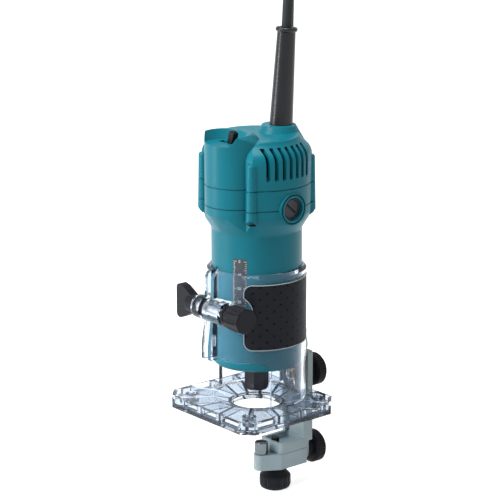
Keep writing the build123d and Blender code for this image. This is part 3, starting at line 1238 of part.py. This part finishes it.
# ---------------------------------------------------------------- parts
os.makedirs("parts", exist_ok=True)
PARTS = {
    "motor_housing": make_motor_housing(),
    "bearing_ring": make_bearing_ring(),
    "rear_cover": make_rear_cover(),
    "housing_screws": make_housing_screws(),
    "depth_rack": make_depth_rack(),
    "depth_scale": make_depth_scale(),
    "field_core": make_field_core(),
    "field_coils": make_field_coils(),
    "lower_bearing": make_bearing(
        BEARING_LOW_R, SPINDLE_R + RUNNING_GAP, HOUSING_BOTTOM_Z + HOUSING_FLOOR, BEARING_LOW_H),
    "upper_bearing": make_bearing(
        BEARING_TOP_R, BEARING_TOP_BORE_R + RUNNING_GAP, UPPER_PARTING_Z - BEARING_TOP_H, BEARING_TOP_H),
    "nose_ring": make_nose_ring(),
    "air_baffle": make_baffle(),
    "brush_holders": make_brush_holders(),
    "carbon_brushes": make_carbon_brushes(),
    "brush_springs": make_brush_springs(),
    "brush_caps": make_brush_caps(),
    "switch_body": make_switch_body(),
    "cord_clamp": make_cord_clamp(),
    "cord_guard": make_cord_guard(),
    "cord_in_guard": make_cord_in_guard(),
    "mains_cord": make_mains_cord(),
    "cord_hank": make_cord_hank(),
    "cord_tie": make_cord_tie(),
    "plug_body": make_plug_body(),
    "plug_pins": make_plug_pins(),
    "lever_pin": make_lever_pin(),
    "armature_shaft": make_armature_shaft(),
    "armature_core": make_armature_core(),
    "commutator": make_commutator(),
    "cooling_fan": make_cooling_fan(),
    "collet": make_collet(),
    "collet_nut": make_collet_nut(),
    "clear_base": make_clear_base(),
    "sole_plate": make_sole_plate(),
    "sole_screws": make_sole_screws(),
    "grip_pad": make_grip_pad(),
    "guide_insert": make_guide_insert(),
    "clamp_washer": make_clamp_washers(),
    "adjuster_rod": make_adjuster_rod(),
    "depth_pinion": make_depth_pinion(),
    "adjuster_knob": make_adjuster_knob(),
    "wing_nut": make_wing_nut(),
    "switch_lever": make_switch_lever(),
    "guide_holder": make_guide_holder(),
    "guide_arm": make_guide_arm(),
    "roller_pin": make_roller_pin(),
    "guide_roller": make_guide_roller(),
    "holder_clamp_screw": make_rear_knob(BASE_BACK_Y - 4, CLAMP_A_Z),
    "guide_adjuster": make_rear_knob(22.0, ADJUSTER_Z),
    "arm_clamp_screw": make_arm_clamp_screw(),
}

for name, shape in PARTS.items():
    solids = shape if isinstance(shape, list) else [shape]
    solids = [solid for item in solids for solid in item.solids()]
    export_step(Compound(children=solids) if len(solids) > 1 else solids[0], f"parts/{name}.step")
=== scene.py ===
import math

import bmesh
import bpy
from mathutils import Matrix, Vector


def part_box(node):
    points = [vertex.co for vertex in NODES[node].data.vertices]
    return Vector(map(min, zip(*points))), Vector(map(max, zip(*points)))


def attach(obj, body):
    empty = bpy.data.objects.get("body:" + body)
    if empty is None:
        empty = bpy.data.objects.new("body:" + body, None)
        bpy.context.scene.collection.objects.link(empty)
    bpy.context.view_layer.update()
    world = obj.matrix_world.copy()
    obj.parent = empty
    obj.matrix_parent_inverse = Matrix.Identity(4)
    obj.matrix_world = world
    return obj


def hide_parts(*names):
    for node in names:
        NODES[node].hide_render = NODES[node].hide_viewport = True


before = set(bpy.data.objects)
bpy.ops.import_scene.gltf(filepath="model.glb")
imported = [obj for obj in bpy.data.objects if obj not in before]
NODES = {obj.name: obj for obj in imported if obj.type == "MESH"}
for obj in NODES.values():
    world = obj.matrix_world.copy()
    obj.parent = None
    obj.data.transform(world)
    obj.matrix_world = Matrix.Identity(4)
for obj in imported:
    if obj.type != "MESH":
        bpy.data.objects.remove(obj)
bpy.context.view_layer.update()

MM = 0.001

# ---------------------------------------------------------------- driving values, in metres
SCALE_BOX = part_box("depth_scale")
FLOOR_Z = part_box("arm_clamp_screw")[0].z
HOUSING_R = 32.5 * MM
SLEEVE_R = 35.8 * MM

# The grip pad: its dimples' first column, a column's turn and a row's rise, each dimple's flat floor
# and outer edge, and the fine lip round the pad.
DIMPLE_FIRST = math.radians(45.8)
DIMPLE_TURN = math.radians(8.15)
DIMPLE_LOW_Z = 60.2 * MM
DIMPLE_RISE = 8.95 * MM
DIMPLE_FLOOR_R = 0.45 * MM
DIMPLE_EDGE_R = 1.15 * MM
DIMPLE_DEPTH = 0.5 * MM
RIM_D = 0.7 * MM

# The scale: its sides as bearings, how far the print stands proud, and the marks of its two rows.
SCALE_LEFT, SCALE_RIGHT = math.radians(19.5), math.radians(38.6)
PRINT_H = 0.08 * MM
TICK_HALF = 0.13 * MM
TICK_INSET = 0.4 * MM
ZERO_BELOW_TOP = 1.8 * MM
METRIC_PITCH, METRIC_MARKS = 0.98 * MM, 41
INCH_PITCH, INCH_MARKS = 1.59 * MM, 25

# The camera's bearing from the front towards +X. The cord is stowed along the same line of sight.
CAMERA_BEARING, CAMERA_ELEVATION = 50.147, 15.73
CAMERA_DISTANCE = 1.5326
STOW_BEARING = math.radians(CAMERA_BEARING)
CORD_D = 7.5 * MM


# ---------------------------------------------------------------- shared
def link(name, data):
    """Adds an object made from this data to the scene."""
    made = bpy.data.objects.new(name, data)
    bpy.context.scene.collection.objects.link(made)
    return made


def add_mesh(name, verts, faces):
    """Adds a mesh object to the scene."""
    mesh = bpy.data.meshes.new(name)
    mesh.from_pydata(verts, [], faces)
    return link(name, mesh)


# ---------------------------------------------------------------- camera
def look_from(bearing, elevation, target, distance):
    """A matrix that looks at target from a bearing off -Y towards +X and an elevation, in degrees."""
    a, e = math.radians(bearing), math.radians(elevation)
    back = Vector((math.sin(a) * math.cos(e), -math.cos(a) * math.cos(e), math.sin(e)))
    place = target + back * distance
    return Matrix.Translation(place) @ back.to_track_quat("Z", "Y").to_matrix().to_4x4()


def make_camera():
    """The camera, with a small shift that frames the router off centre."""
    data = bpy.data.cameras.new("camera")
    data.sensor_width = 36.0
    data.lens = 153.88
    data.shift_x = -0.01336
    data.shift_y = 0.04984
    data.clip_end = 50
    camera = link("camera", data)
    camera.matrix_world = look_from(CAMERA_BEARING, CAMERA_ELEVATION, Vector((0, 0, 0.1)),
                                    CAMERA_DISTANCE)
    bpy.context.scene.camera = camera


# ---------------------------------------------------------------- light
def make_lamp(name, bearing, elevation, distance, width, height, power):
    """A rectangular area lamp aimed at the router's middle."""
    data = bpy.data.lights.new(name, "AREA")
    data.shape = "RECTANGLE"
    data.size = width
    data.size_y = height
    data.energy = power
    lamp = link(name, data)
    lamp.matrix_world = look_from(bearing, elevation, Vector((0, 0, 0.12)), distance)


def seen_directly(nodes, links):
    """1 for camera, glossy and transmission rays that haven't met a matt surface, else 0."""
    path = nodes.new("ShaderNodeLightPath")
    value = path.outputs["Is Camera Ray"]
    for name in ("Is Glossy Ray", "Is Transmission Ray"):
        either = nodes.new("ShaderNodeMath")
        either.operation = "MAXIMUM"
        links.new(value, either.inputs[0])
        links.new(path.outputs[name], either.inputs[1])
        value = either.outputs[0]
    unscattered = nodes.new("ShaderNodeMath")
    unscattered.operation = "LESS_THAN"
    unscattered.inputs[1].default_value = 0.5
    links.new(path.outputs["Diffuse Depth"], unscattered.inputs[0])
    both = nodes.new("ShaderNodeMath")
    both.operation = "MULTIPLY"
    links.new(value, both.inputs[0])
    links.new(unscattered.outputs[0], both.inputs[1])
    return both.outputs[0]


def make_world():
    """A dim even sky that the camera, gloss and glass see as white."""
    world = bpy.data.worlds.new("studio")
    bpy.context.scene.world = world
    world.use_nodes = True
    nodes, links = world.node_tree.nodes, world.node_tree.links
    nodes.clear()
    sky = nodes.new("ShaderNodeBackground")
    sky.inputs["Strength"].default_value = 0.30
    white = nodes.new("ShaderNodeBackground")
    white.inputs["Strength"].default_value = 1.0
    mix = nodes.new("ShaderNodeMixShader")
    links.new(seen_directly(nodes, links), mix.inputs[0])
    links.new(sky.outputs[0], mix.inputs[1])
    links.new(white.outputs[0], mix.inputs[2])
    out = nodes.new("ShaderNodeOutputWorld")
    links.new(mix.outputs[0], out.inputs["Surface"])


def make_floor():
    """A pale floor under the lowest knob, white to the camera except where shadow falls."""
    half = 8.0
    corners = [(x * half, y * half, FLOOR_Z) for x, y in ((-1, -1), (1, -1), (1, 1), (-1, 1))]
    floor = add_mesh("floor", corners, [(0, 1, 2, 3)])
    material = bpy.data.materials.new("floor")
    material.use_nodes = True
    nodes, links = material.node_tree.nodes, material.node_tree.links
    nodes.clear()
    plain = nodes.new("ShaderNodeBsdfDiffuse")
    plain.inputs["Color"].default_value = (0.8, 0.8, 0.8, 1)
    glow = nodes.new("ShaderNodeEmission")
    place = nodes.new("ShaderNodeNewGeometry").outputs["Position"]
    # The floor's glow grows with distance from the router, beyond the shadow's reach.
    far = nodes.new("ShaderNodeVectorMath")
    far.operation = "LENGTH"
    links.new(place, far.inputs[0])
    rise = nodes.new("ShaderNodeMapRange")
    rise.interpolation_type = "SMOOTHSTEP"
    rise.inputs["From Min"].default_value = 0.20
    rise.inputs["From Max"].default_value = 0.55
    rise.inputs["To Min"].default_value = 0.80
    rise.inputs["To Max"].default_value = 1.0
    links.new(far.outputs["Value"], rise.inputs["Value"])
    links.new(rise.outputs["Result"], glow.inputs["Strength"])
    both = nodes.new("ShaderNodeAddShader")
    links.new(plain.outputs[0], both.inputs[0])
    links.new(glow.outputs[0], both.inputs[1])
    mix = nodes.new("ShaderNodeMixShader")
    links.new(seen_directly(nodes, links), mix.inputs[0])
    links.new(plain.outputs[0], mix.inputs[1])
    links.new(both.outputs[0], mix.inputs[2])
    out = nodes.new("ShaderNodeOutputMaterial")
    links.new(mix.outputs[0], out.inputs["Surface"])
    floor.data.materials.append(material)


# ---------------------------------------------------------------- materials
class Maker:
    """A material's node tree, with short names for what the materials below share."""

    def __init__(self, name):
        self.material = bpy.data.materials.new(name)
        self.material.use_nodes = True
        tree = self.material.node_tree
        self.nodes, self.links = tree.nodes, tree.links
        self.shader = self.nodes["Principled BSDF"]
        self.place = self.nodes.new("ShaderNodeTexCoord").outputs["Object"]

    def set(self, **values):
        """Sets sockets of the shader by name, with underscores for spaces."""
        for name, value in values.items():
            self.shader.inputs[name.replace("_", " ")].default_value = value

    def noise(self, scale, detail=3.0, rough=0.5):
        """A noise pattern over the object's own coordinates."""
        node = self.nodes.new("ShaderNodeTexNoise")
        node.inputs["Scale"].default_value = scale
        node.inputs["Detail"].default_value = detail
        node.inputs["Roughness"].default_value = rough
        self.links.new(self.place, node.inputs["Vector"])
        return node.outputs["Fac"]

    def ramp(self, fac, *stops):
        """A colour ramp from (position, colour) stops."""
        node = self.nodes.new("ShaderNodeValToRGB")
        ramp = node.color_ramp
        while len(ramp.elements) < len(stops):
            ramp.elements.new(0.5)
        for element, (position, colour) in zip(ramp.elements, stops):
            element.position = position
            element.color = (*colour, 1) if len(colour) == 3 else colour
        self.links.new(fac, node.inputs["Fac"])
        return node.outputs["Color"]

    def spread(self, fac, low, high):
        """Maps a 0 to 1 pattern onto a range."""
        node = self.nodes.new("ShaderNodeMapRange")
        node.inputs["To Min"].default_value = low
        node.inputs["To Max"].default_value = high
        self.links.new(fac, node.inputs["Value"])
        return node.outputs["Result"]

    def math(self, operation, a, b=0.0):
        """A math node on two values, each a socket or a number."""
        node = self.nodes.new("ShaderNodeMath")
        node.operation = operation
        for value, socket in zip((a, b), node.inputs):
            if isinstance(value, float):
                socket.default_value = value
            else:
                self.links.new(value, socket)
        return node.outputs[0]

    def bump(self, height, strength, distance, under=None):
        """Adds a bump to the shader's normal."""
        node = self.nodes.new("ShaderNodeBump")
        node.inputs["Strength"].default_value = strength
        node.inputs["Distance"].default_value = distance
        self.links.new(height, node.inputs["Height"])
        if under is not None:
            self.links.new(under, node.inputs["Normal"])
        self.links.new(node.outputs["Normal"], self.shader.inputs["Normal"])

    def soft_edges(self, radius):
        """A normal that rounds the piece's sharp edges."""
        node = self.nodes.new("ShaderNodeBevel")
        node.samples = 4
        node.inputs["Radius"].default_value = radius
        return node.outputs["Normal"]

    def feed(self, socket, name):
        """Links a pattern to one of the shader's sockets."""
        self.links.new(socket, self.shader.inputs[name])


def moulded(name, colour, rough, grain=900.0, strength=0.12, edge=0.5 * MM, gloss=0.3):
    """Moulded plastic: a faint colour drift, spark-eroded grain and rounded edges."""
    m = Maker(name)
    low = tuple(c * 0.93 for c in colour)
    high = tuple(c * 1.06 for c in colour)
    m.feed(m.ramp(m.noise(30.0, 4.0), (0.3, low), (0.7, high)), "Base Color")
    m.feed(m.spread(m.noise(120.0, 2.0), rough - 0.05, rough + 0.06), "Roughness")
    m.bump(m.noise(grain, 2.0), strength, 0.05 * MM, m.soft_edges(edge))
    m.set(IOR=1.5, Specular_IOR_Level=gloss)
    return m.material


def turned_metal(name, colour, rough, grain=400.0, strength=0.1, edge=0.2 * MM):
    """Machined metal with fine random tool marks."""
    m = Maker(name)
    low = tuple(c * 0.88 for c in colour)
    m.feed(m.ramp(m.noise(180.0, 3.0), (0.35, low), (0.7, colour)), "Base Color")
    m.feed(m.spread(m.noise(260.0, 3.0), rough - 0.06, rough + 0.08), "Roughness")
    m.bump(m.noise(grain, 3.0), strength, 0.03 * MM, m.soft_edges(edge))
    m.set(Metallic=1.0)
    return m.material


def clear_plastic(name, tint, rough):
    """Polycarbonate that lets lamps through, faintly frosted by its mould."""
    m = Maker(name)
    m.set(Base_Color=(*tint, 1), Transmission_Weight=0.98, IOR=1.30)
    m.set(Specular_Tint=(0.42, 0.48, 0.55, 1))
    m.feed(m.spread(m.noise(60.0, 2.0), rough, rough + 0.05), "Roughness")
    m.bump(m.noise(35.0, 2.0), 0.10, 0.15 * MM, m.soft_edges(0.6 * MM))
    path = m.nodes.new("ShaderNodeLightPath")
    bare = m.nodes.new("ShaderNodeBsdfTransparent")
    bare.inputs["Color"].default_value = (0.93, 0.95, 0.97, 1)
    mix = m.nodes.new("ShaderNodeMixShader")
    m.links.new(path.outputs["Is Shadow Ray"], mix.inputs[0])
    m.links.new(m.shader.outputs[0], mix.inputs[1])
    m.links.new(bare.outputs[0], mix.inputs[2])
    m.links.new(mix.outputs[0], m.nodes["Material Output"].inputs["Surface"])
    return m.material


def dimpled_rubber(name, colour, rough):
    """The grip's rubber: staggered columns of small dimples round the motor's axis, their hollows
    darkened with painted shade.
    """
    m = Maker(name)
    split = m.nodes.new("ShaderNodeSeparateXYZ")
    m.links.new(m.place, split.inputs[0])
    turn = m.math("ARCTAN2", split.outputs["X"], m.math("MULTIPLY", split.outputs["Y"], -1.0))
    across = m.math("DIVIDE", m.math("SUBTRACT", turn, DIMPLE_FIRST), DIMPLE_TURN)
    column = m.math("ROUND", across)
    shift = m.math("MULTIPLY", m.math("FLOORED_MODULO", column, 2.0), 0.5)
    height = m.math("SUBTRACT", split.outputs["Z"], DIMPLE_LOW_Z)
    up = m.math("SUBTRACT", m.math("DIVIDE", height, DIMPLE_RISE), shift)
    side = m.math("MULTIPLY", m.math("SUBTRACT", across, column), DIMPLE_TURN * SLEEVE_R)
    rise = m.math("MULTIPLY", m.math("SUBTRACT", up, m.math("ROUND", up)), DIMPLE_RISE)
    square = m.math("ADD", m.math("MULTIPLY", side, side), m.math("MULTIPLY", rise, rise))
    depth = m.nodes.new("ShaderNodeMapRange")
    depth.interpolation_type = "SMOOTHSTEP"
    depth.inputs["From Min"].default_value = DIMPLE_FLOOR_R ** 2
    depth.inputs["From Max"].default_value = DIMPLE_EDGE_R ** 2
    m.links.new(square, depth.inputs["Value"])
    flat = depth.outputs["Result"]
    # Painted shade: each dimple's floor is painted a quarter as bright, fading out to the rubber's
    # colour at the dimple's edge.
    painted_dimple_shade = tuple(c * 0.25 for c in colour)
    m.feed(m.ramp(flat, (0.0, painted_dimple_shade), (1.0, colour)), "Base Color")
    m.feed(m.spread(m.noise(150.0, 2.0), rough - 0.05, rough + 0.06), "Roughness")
    pitted = m.nodes.new("ShaderNodeBump")
    pitted.inputs["Strength"].default_value = 1.0
    pitted.inputs["Distance"].default_value = DIMPLE_DEPTH
    m.links.new(flat, pitted.inputs["Height"])
    m.links.new(m.soft_edges(0.8 * MM), pitted.inputs["Normal"])
    m.bump(m.noise(1500.0, 2.0), 0.15, 0.05 * MM, pitted.outputs["Normal"])
    m.set(IOR=1.5, Specular_IOR_Level=0.06)
    return m.material


TEAL = moulded("teal", (0.004, 0.180, 0.240), 0.34, strength=0.05, gloss=0.16)
BLACK = moulded("black_plastic", (0.010, 0.011, 0.014), 0.34, gloss=0.15)
SATIN_BLACK = moulded("satin_black", (0.012, 0.013, 0.017), 0.42, strength=0.2, gloss=0.12)
GUARD = moulded("guard_rubber", (0.003, 0.004, 0.007), 0.30, grain=400.0, strength=0.0, gloss=0.4)
SHEATH = moulded("cord_sheath", (0.022, 0.025, 0.028), 0.5, grain=1800.0, strength=0.2, gloss=0.2)
CAP = moulded("cap_plastic", (0.040, 0.042, 0.050), 0.45)
PAD = dimpled_rubber("grip_rubber", (0.020, 0.022, 0.028), 0.45)
SCALE = moulded("scale_plate", (0.060, 0.075, 0.088), 0.40)
NYLON = moulded("nylon", (0.62, 0.60, 0.52), 0.5)
CLEAR = clear_plastic("clear_base", (0.74, 0.80, 0.87), 0.02)
ZINC = moulded("painted_zinc", (0.33, 0.41, 0.43), 0.32, grain=700.0, strength=0.2)
STEEL = turned_metal("steel", (0.58, 0.58, 0.60), 0.32)
BLACK_STEEL_AND_SHADE = turned_metal("black_steel", (0.030, 0.030, 0.034), 0.30)
CHROME = turned_metal("chrome", (0.15, 0.18, 0.19), 0.16, strength=0.03)
BRASS = turned_metal("brass", (0.72, 0.52, 0.22), 0.30)
COPPER = turned_metal("copper", (0.70, 0.33, 0.18), 0.35)
IRON = turned_metal("laminations", (0.28, 0.28, 0.30), 0.45)
CARBON = moulded("carbon", (0.03, 0.03, 0.03), 0.5)
# Painted highlight: a pale opaque plastic for the pad's lip, standing in for the glint on the clear
# sleeve's edge.
PAINTED_LIP_HIGHLIGHT = moulded("lip_painted_highlight", (0.42, 0.52, 0.56), 0.25)
WHITE_PRINT = moulded("white_print", (0.78, 0.80, 0.80), 0.5)

FINISHES = {
    TEAL: ("motor_housing", "bearing_ring", "rear_cover"),
    BLACK: ("depth_pinion", "plug_body", "switch_body", "cord_clamp", "switch_lever"),
    SATIN_BLACK: ("wing_nut", "adjuster_knob", "holder_clamp_screw", "guide_adjuster",
                  "arm_clamp_screw", "cord_tie"),
    PAD: ("grip_pad",),
    GUARD: ("cord_guard",),
    SHEATH: ("cord_in_guard", "mains_cord", "cord_hank"),
    CAP: ("brush_caps",),
    SCALE: ("depth_scale",),
    NYLON: ("air_baffle", "cooling_fan"),
    CLEAR: ("clear_base", "sole_plate"),
    ZINC: ("guide_holder", "guide_arm"),
    STEEL: ("sole_screws", "clamp_washer", "depth_rack", "lower_bearing", "upper_bearing",
            "nose_ring", "brush_springs", "lever_pin", "armature_shaft", "collet", "adjuster_rod",
            "roller_pin"),
    # Painted shade: the housing screws get the dark steel for the shadow at the columns' feet; the
    # collet nut is dark steel.
    BLACK_STEEL_AND_SHADE: ("collet_nut", "housing_screws"),
    CHROME: ("guide_roller",),
    BRASS: ("guide_insert", "brush_holders", "plug_pins"),
    COPPER: ("field_coils", "commutator"),
    IRON: ("field_core", "armature_core"),
    CARBON: ("carbon_brushes",),
}


def finish_nodes():
    """Gives every CAD node its material."""
    for material, names in FINISHES.items():
        for name in names:
            mesh = NODES[name].data
            mesh.materials.clear()
            mesh.materials.append(material)
    bare = set(NODES) - {n for names in FINISHES.values() for n in names}
    assert not bare, f"no finish for {sorted(bare)}"


# ---------------------------------------------------------------- depth scale
def on_housing(bearing, z, r):
    """A point on the housing at a bearing from the front towards +X, in radians."""
    return Vector((r * math.sin(bearing), -r * math.cos(bearing), z))


def make_scale_marks():
    """White ticks and plain numbers, wrapped onto the motor's scale."""
    r = HOUSING_R + PRINT_H
    zero = SCALE_BOX[1].z - ZERO_BELOW_TOP
    verts, faces = [], []

    def tick(a0, a1, z):
        """A bar between two bearings, in steps of about a millimetre."""
        start = len(verts)
        steps = max(1, round((a1 - a0) * r / MM))
        for i in range(steps + 1):
            a = a0 + (a1 - a0) * i / steps
            verts.extend([on_housing(a, z - TICK_HALF, r), on_housing(a, z + TICK_HALF, r)])
        for k in range(start, start + 2 * steps, 2):
            faces.append((k, k + 2, k + 3, k + 1))

    for i in range(METRIC_MARKS):
        length = 2.6 * MM if i % 10 == 0 else 1.7 * MM if i % 5 == 0 else 1.1 * MM
        tick(SCALE_LEFT + TICK_INSET / r, SCALE_LEFT + (TICK_INSET + length) / r,
             zero - i * METRIC_PITCH)
    for i in range(INCH_MARKS):
        length = 2.2 * MM if i % 4 == 0 else 1.3 * MM
        tick(SCALE_RIGHT - (TICK_INSET + length) / r, SCALE_RIGHT - TICK_INSET / r,
             zero - i * INCH_PITCH)
    ticks = add_mesh("scale_ticks", verts, faces)
    ticks.data.materials.append(WHITE_PRINT)
    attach(ticks, "motor_unit")
    middle = (SCALE_LEFT + SCALE_RIGHT) / 2 - TICK_INSET / r
    for value in (0, 10, 20, 30):
        make_number(str(value), middle, zero - value * METRIC_PITCH, r)


def make_number(words, bearing, z, r):
    """A flat number bent round the housing."""
    font = bpy.data.curves.new("number", "FONT")
    font.body = words
    font.size = 2.9 * MM
    font.align_x = "CENTER"
    font.align_y = "CENTER"
    made = link("number", font)
    bpy.context.view_layer.update()
    mesh = bpy.data.meshes.new_from_object(made)
    bpy.data.objects.remove(made)
    for vertex in mesh.vertices:
        vertex.co = on_housing(bearing + vertex.co.x / r, z + vertex.co.y, r)
    number = link(f"scale_number_{words}", mesh)
    mesh.materials.clear()
    mesh.materials.append(WHITE_PRINT)
    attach(number, "motor_unit")


# ---------------------------------------------------------------- the sleeve's lip round the grip pad
def make_pad_rim():
    """A fine raised lip of the clear sleeve, along the outline of the pad's outer face, in a pale
    opaque colour that is a painted highlight of the clear edge.
    """
    shape = bmesh.new()
    shape.from_mesh(NODES["grip_pad"].data)
    reach = max(math.hypot(v.co.x, v.co.y) for v in shape.verts) - RIM_D / 2
    outer = {f for f in shape.faces
             if f.normal.dot(f.calc_center_median() * Vector((1, 1, 0))) > 0
             and all(math.hypot(v.co.x, v.co.y) > reach for v in f.verts)}
    # The outer face's border, as each of its corners and the next.
    after = {}
    for face in outer:
        for loop in face.loops:
            if all(other not in outer for other in loop.edge.link_faces if other is not face):
                after[loop.vert.index] = loop.link_loop_next.vert.index
    shape.verts.ensure_lookup_table()
    start = min(after)
    chain = [start]
    while after[chain[-1]] != start:
        chain.append(after[chain[-1]])
    curve = bpy.data.curves.new("pad_rim", "CURVE")
    curve.dimensions = "3D"
    curve.bevel_depth = RIM_D / 2
    curve.bevel_resolution = 2
    spline = curve.splines.new("POLY")
    spline.points.add(len(chain) - 1)
    for point, index in zip(spline.points, chain):
        point.co = (*shape.verts[index].co, 1)
    spline.use_cyclic_u = True
    shape.free()
    curve.materials.append(PAINTED_LIP_HIGHLIGHT)
    rim = link("pad_rim", curve)
    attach(rim, "base")


# ---------------------------------------------------------------- cord
def stowed(side, away, z):
    """A point by its distance sideways and away from the axis, along the stowed cord's line."""
    b = STOW_BEARING
    return Vector((side * math.cos(b) - away * math.sin(b),
                   side * math.sin(b) + away * math.cos(b), z))


GUARD_BASE = Vector((0, 22.6 * MM, 207.4 * MM))
GUARD_LEAN = math.radians(4.1)
GUARD_L = 69.0 * MM


def guard_point(height):
    """A point on the guard's axis, this far above the cover."""
    return GUARD_BASE + Vector((0, math.sin(GUARD_LEAN), math.cos(GUARD_LEAN))) * height


# The cord's route from the guard's mouth to the hank, sideways, away and up.
ROUTE = [(24.8, 60.5, 356.0), (24.9, 111.5, 336.0), (23.8, 122.0, 240.0), (21.0, 119.0, 148.0),
         (25.5, 106.5, 62.0), (35.5, 111.0, 11.0), (37.3, 156.0, -3.0)]
HANK_SIDE, HANK_AWAY, HANK_RUN, FOLD_R = 33.5 * MM, 126.5 * MM, 85.5 * MM, 22.5 * MM
HANK_MIDDLE_Z = FLOOR_Z + FOLD_R + 1.5 * CORD_D


# One flat turn of the hank: how far along in runs, then in fold radii, and how far up in fold radii.
TURN = [(0.25, 0.0, 1.0), (0.5, 0.41, 1.0), (0.5, 1.0, 0.41), (0.5, 1.0, -0.41),
        (0.5, 0.41, -1.0), (0.25, 0.0, -1.0), (-0.25, 0.0, -1.0), (-0.5, -0.41, -1.0),
        (-0.5, -1.0, -0.41), (-0.5, -1.0, 0.41), (-0.5, -0.41, 1.0), (-0.25, 0.0, 1.0)]
# The four turns, as a column's side offset and a ring's extra radius, in cord diameters.
TURNS = [(0.5, 1.0), (0.5, 0.0), (-0.5, 0.0), (-0.5, 1.0)]


def hank_turns():
    """The hank's turns, each passing to the next over its last three points."""
    points = []
    for turn, following in zip(TURNS, TURNS[1:] + TURNS[-1:]):
        for i, (run, fold, up) in enumerate(TURN):
            change = max(0, i - 8) / 4
            column, ring = (a + (b - a) * change for a, b in zip(turn, following))
            r = FOLD_R + ring * CORD_D
            points.append(stowed(HANK_SIDE + column * CORD_D, HANK_AWAY + run * HANK_RUN + fold * r,
                                 HANK_MIDDLE_Z + up * r))
    return points


def make_cord():
    """The mains cord on one smooth line: over, down, through the hank and into the plug."""
    top = HANK_MIDDLE_Z + FOLD_R + 1.5 * CORD_D
    route = [guard_point(GUARD_L - 10 * MM), guard_point(GUARD_L + 44 * MM)]
    route += [stowed(side * MM, away * MM, z * MM) for side, away, z in ROUTE]
    turns = hank_turns()
    tail = [stowed(29.75 * MM, 108 * MM, top - 3.8 * MM), stowed(29.8 * MM, 128 * MM, top - 1.5 * MM),
            stowed(30 * MM, 150 * MM, top + 6.5 * MM)]
    points = route + turns[1:] + tail
    curve = bpy.data.curves.new("mains_lead", "CURVE")
    curve.dimensions = "3D"
    curve.bevel_depth = CORD_D / 2
    curve.bevel_resolution = 4
    curve.resolution_u = 6
    curve.use_fill_caps = True
    spline = curve.splines.new("NURBS")
    spline.points.add(len(points) - 1)
    for point, place in zip(spline.points, points):
        point.co = (*place, 1)
    spline.order_u = 3
    spline.use_endpoint_u = True
    curve.materials.append(SHEATH)
    lead = link("mains_lead", curve)
    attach(lead, "motor_unit")
    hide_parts("mains_cord", "cord_hank")


# ---------------------------------------------------------------- scene
bpy.context.scene.view_settings.view_transform = "Standard"
make_camera()
make_world()
make_floor()
make_lamp("key", -18, 40, 1.1, 0.5, 0.5, 8)
make_lamp("strip", -32, 1, 1.0, 0.12, 0.34, 3.0)
make_lamp("fill", 110, 20, 1.4, 0.7, 0.7, 1.2)
make_lamp("top", 20, 80, 1.2, 0.5, 0.5, 9)
finish_nodes()
make_scale_marks()
make_pad_rim()
make_cord()
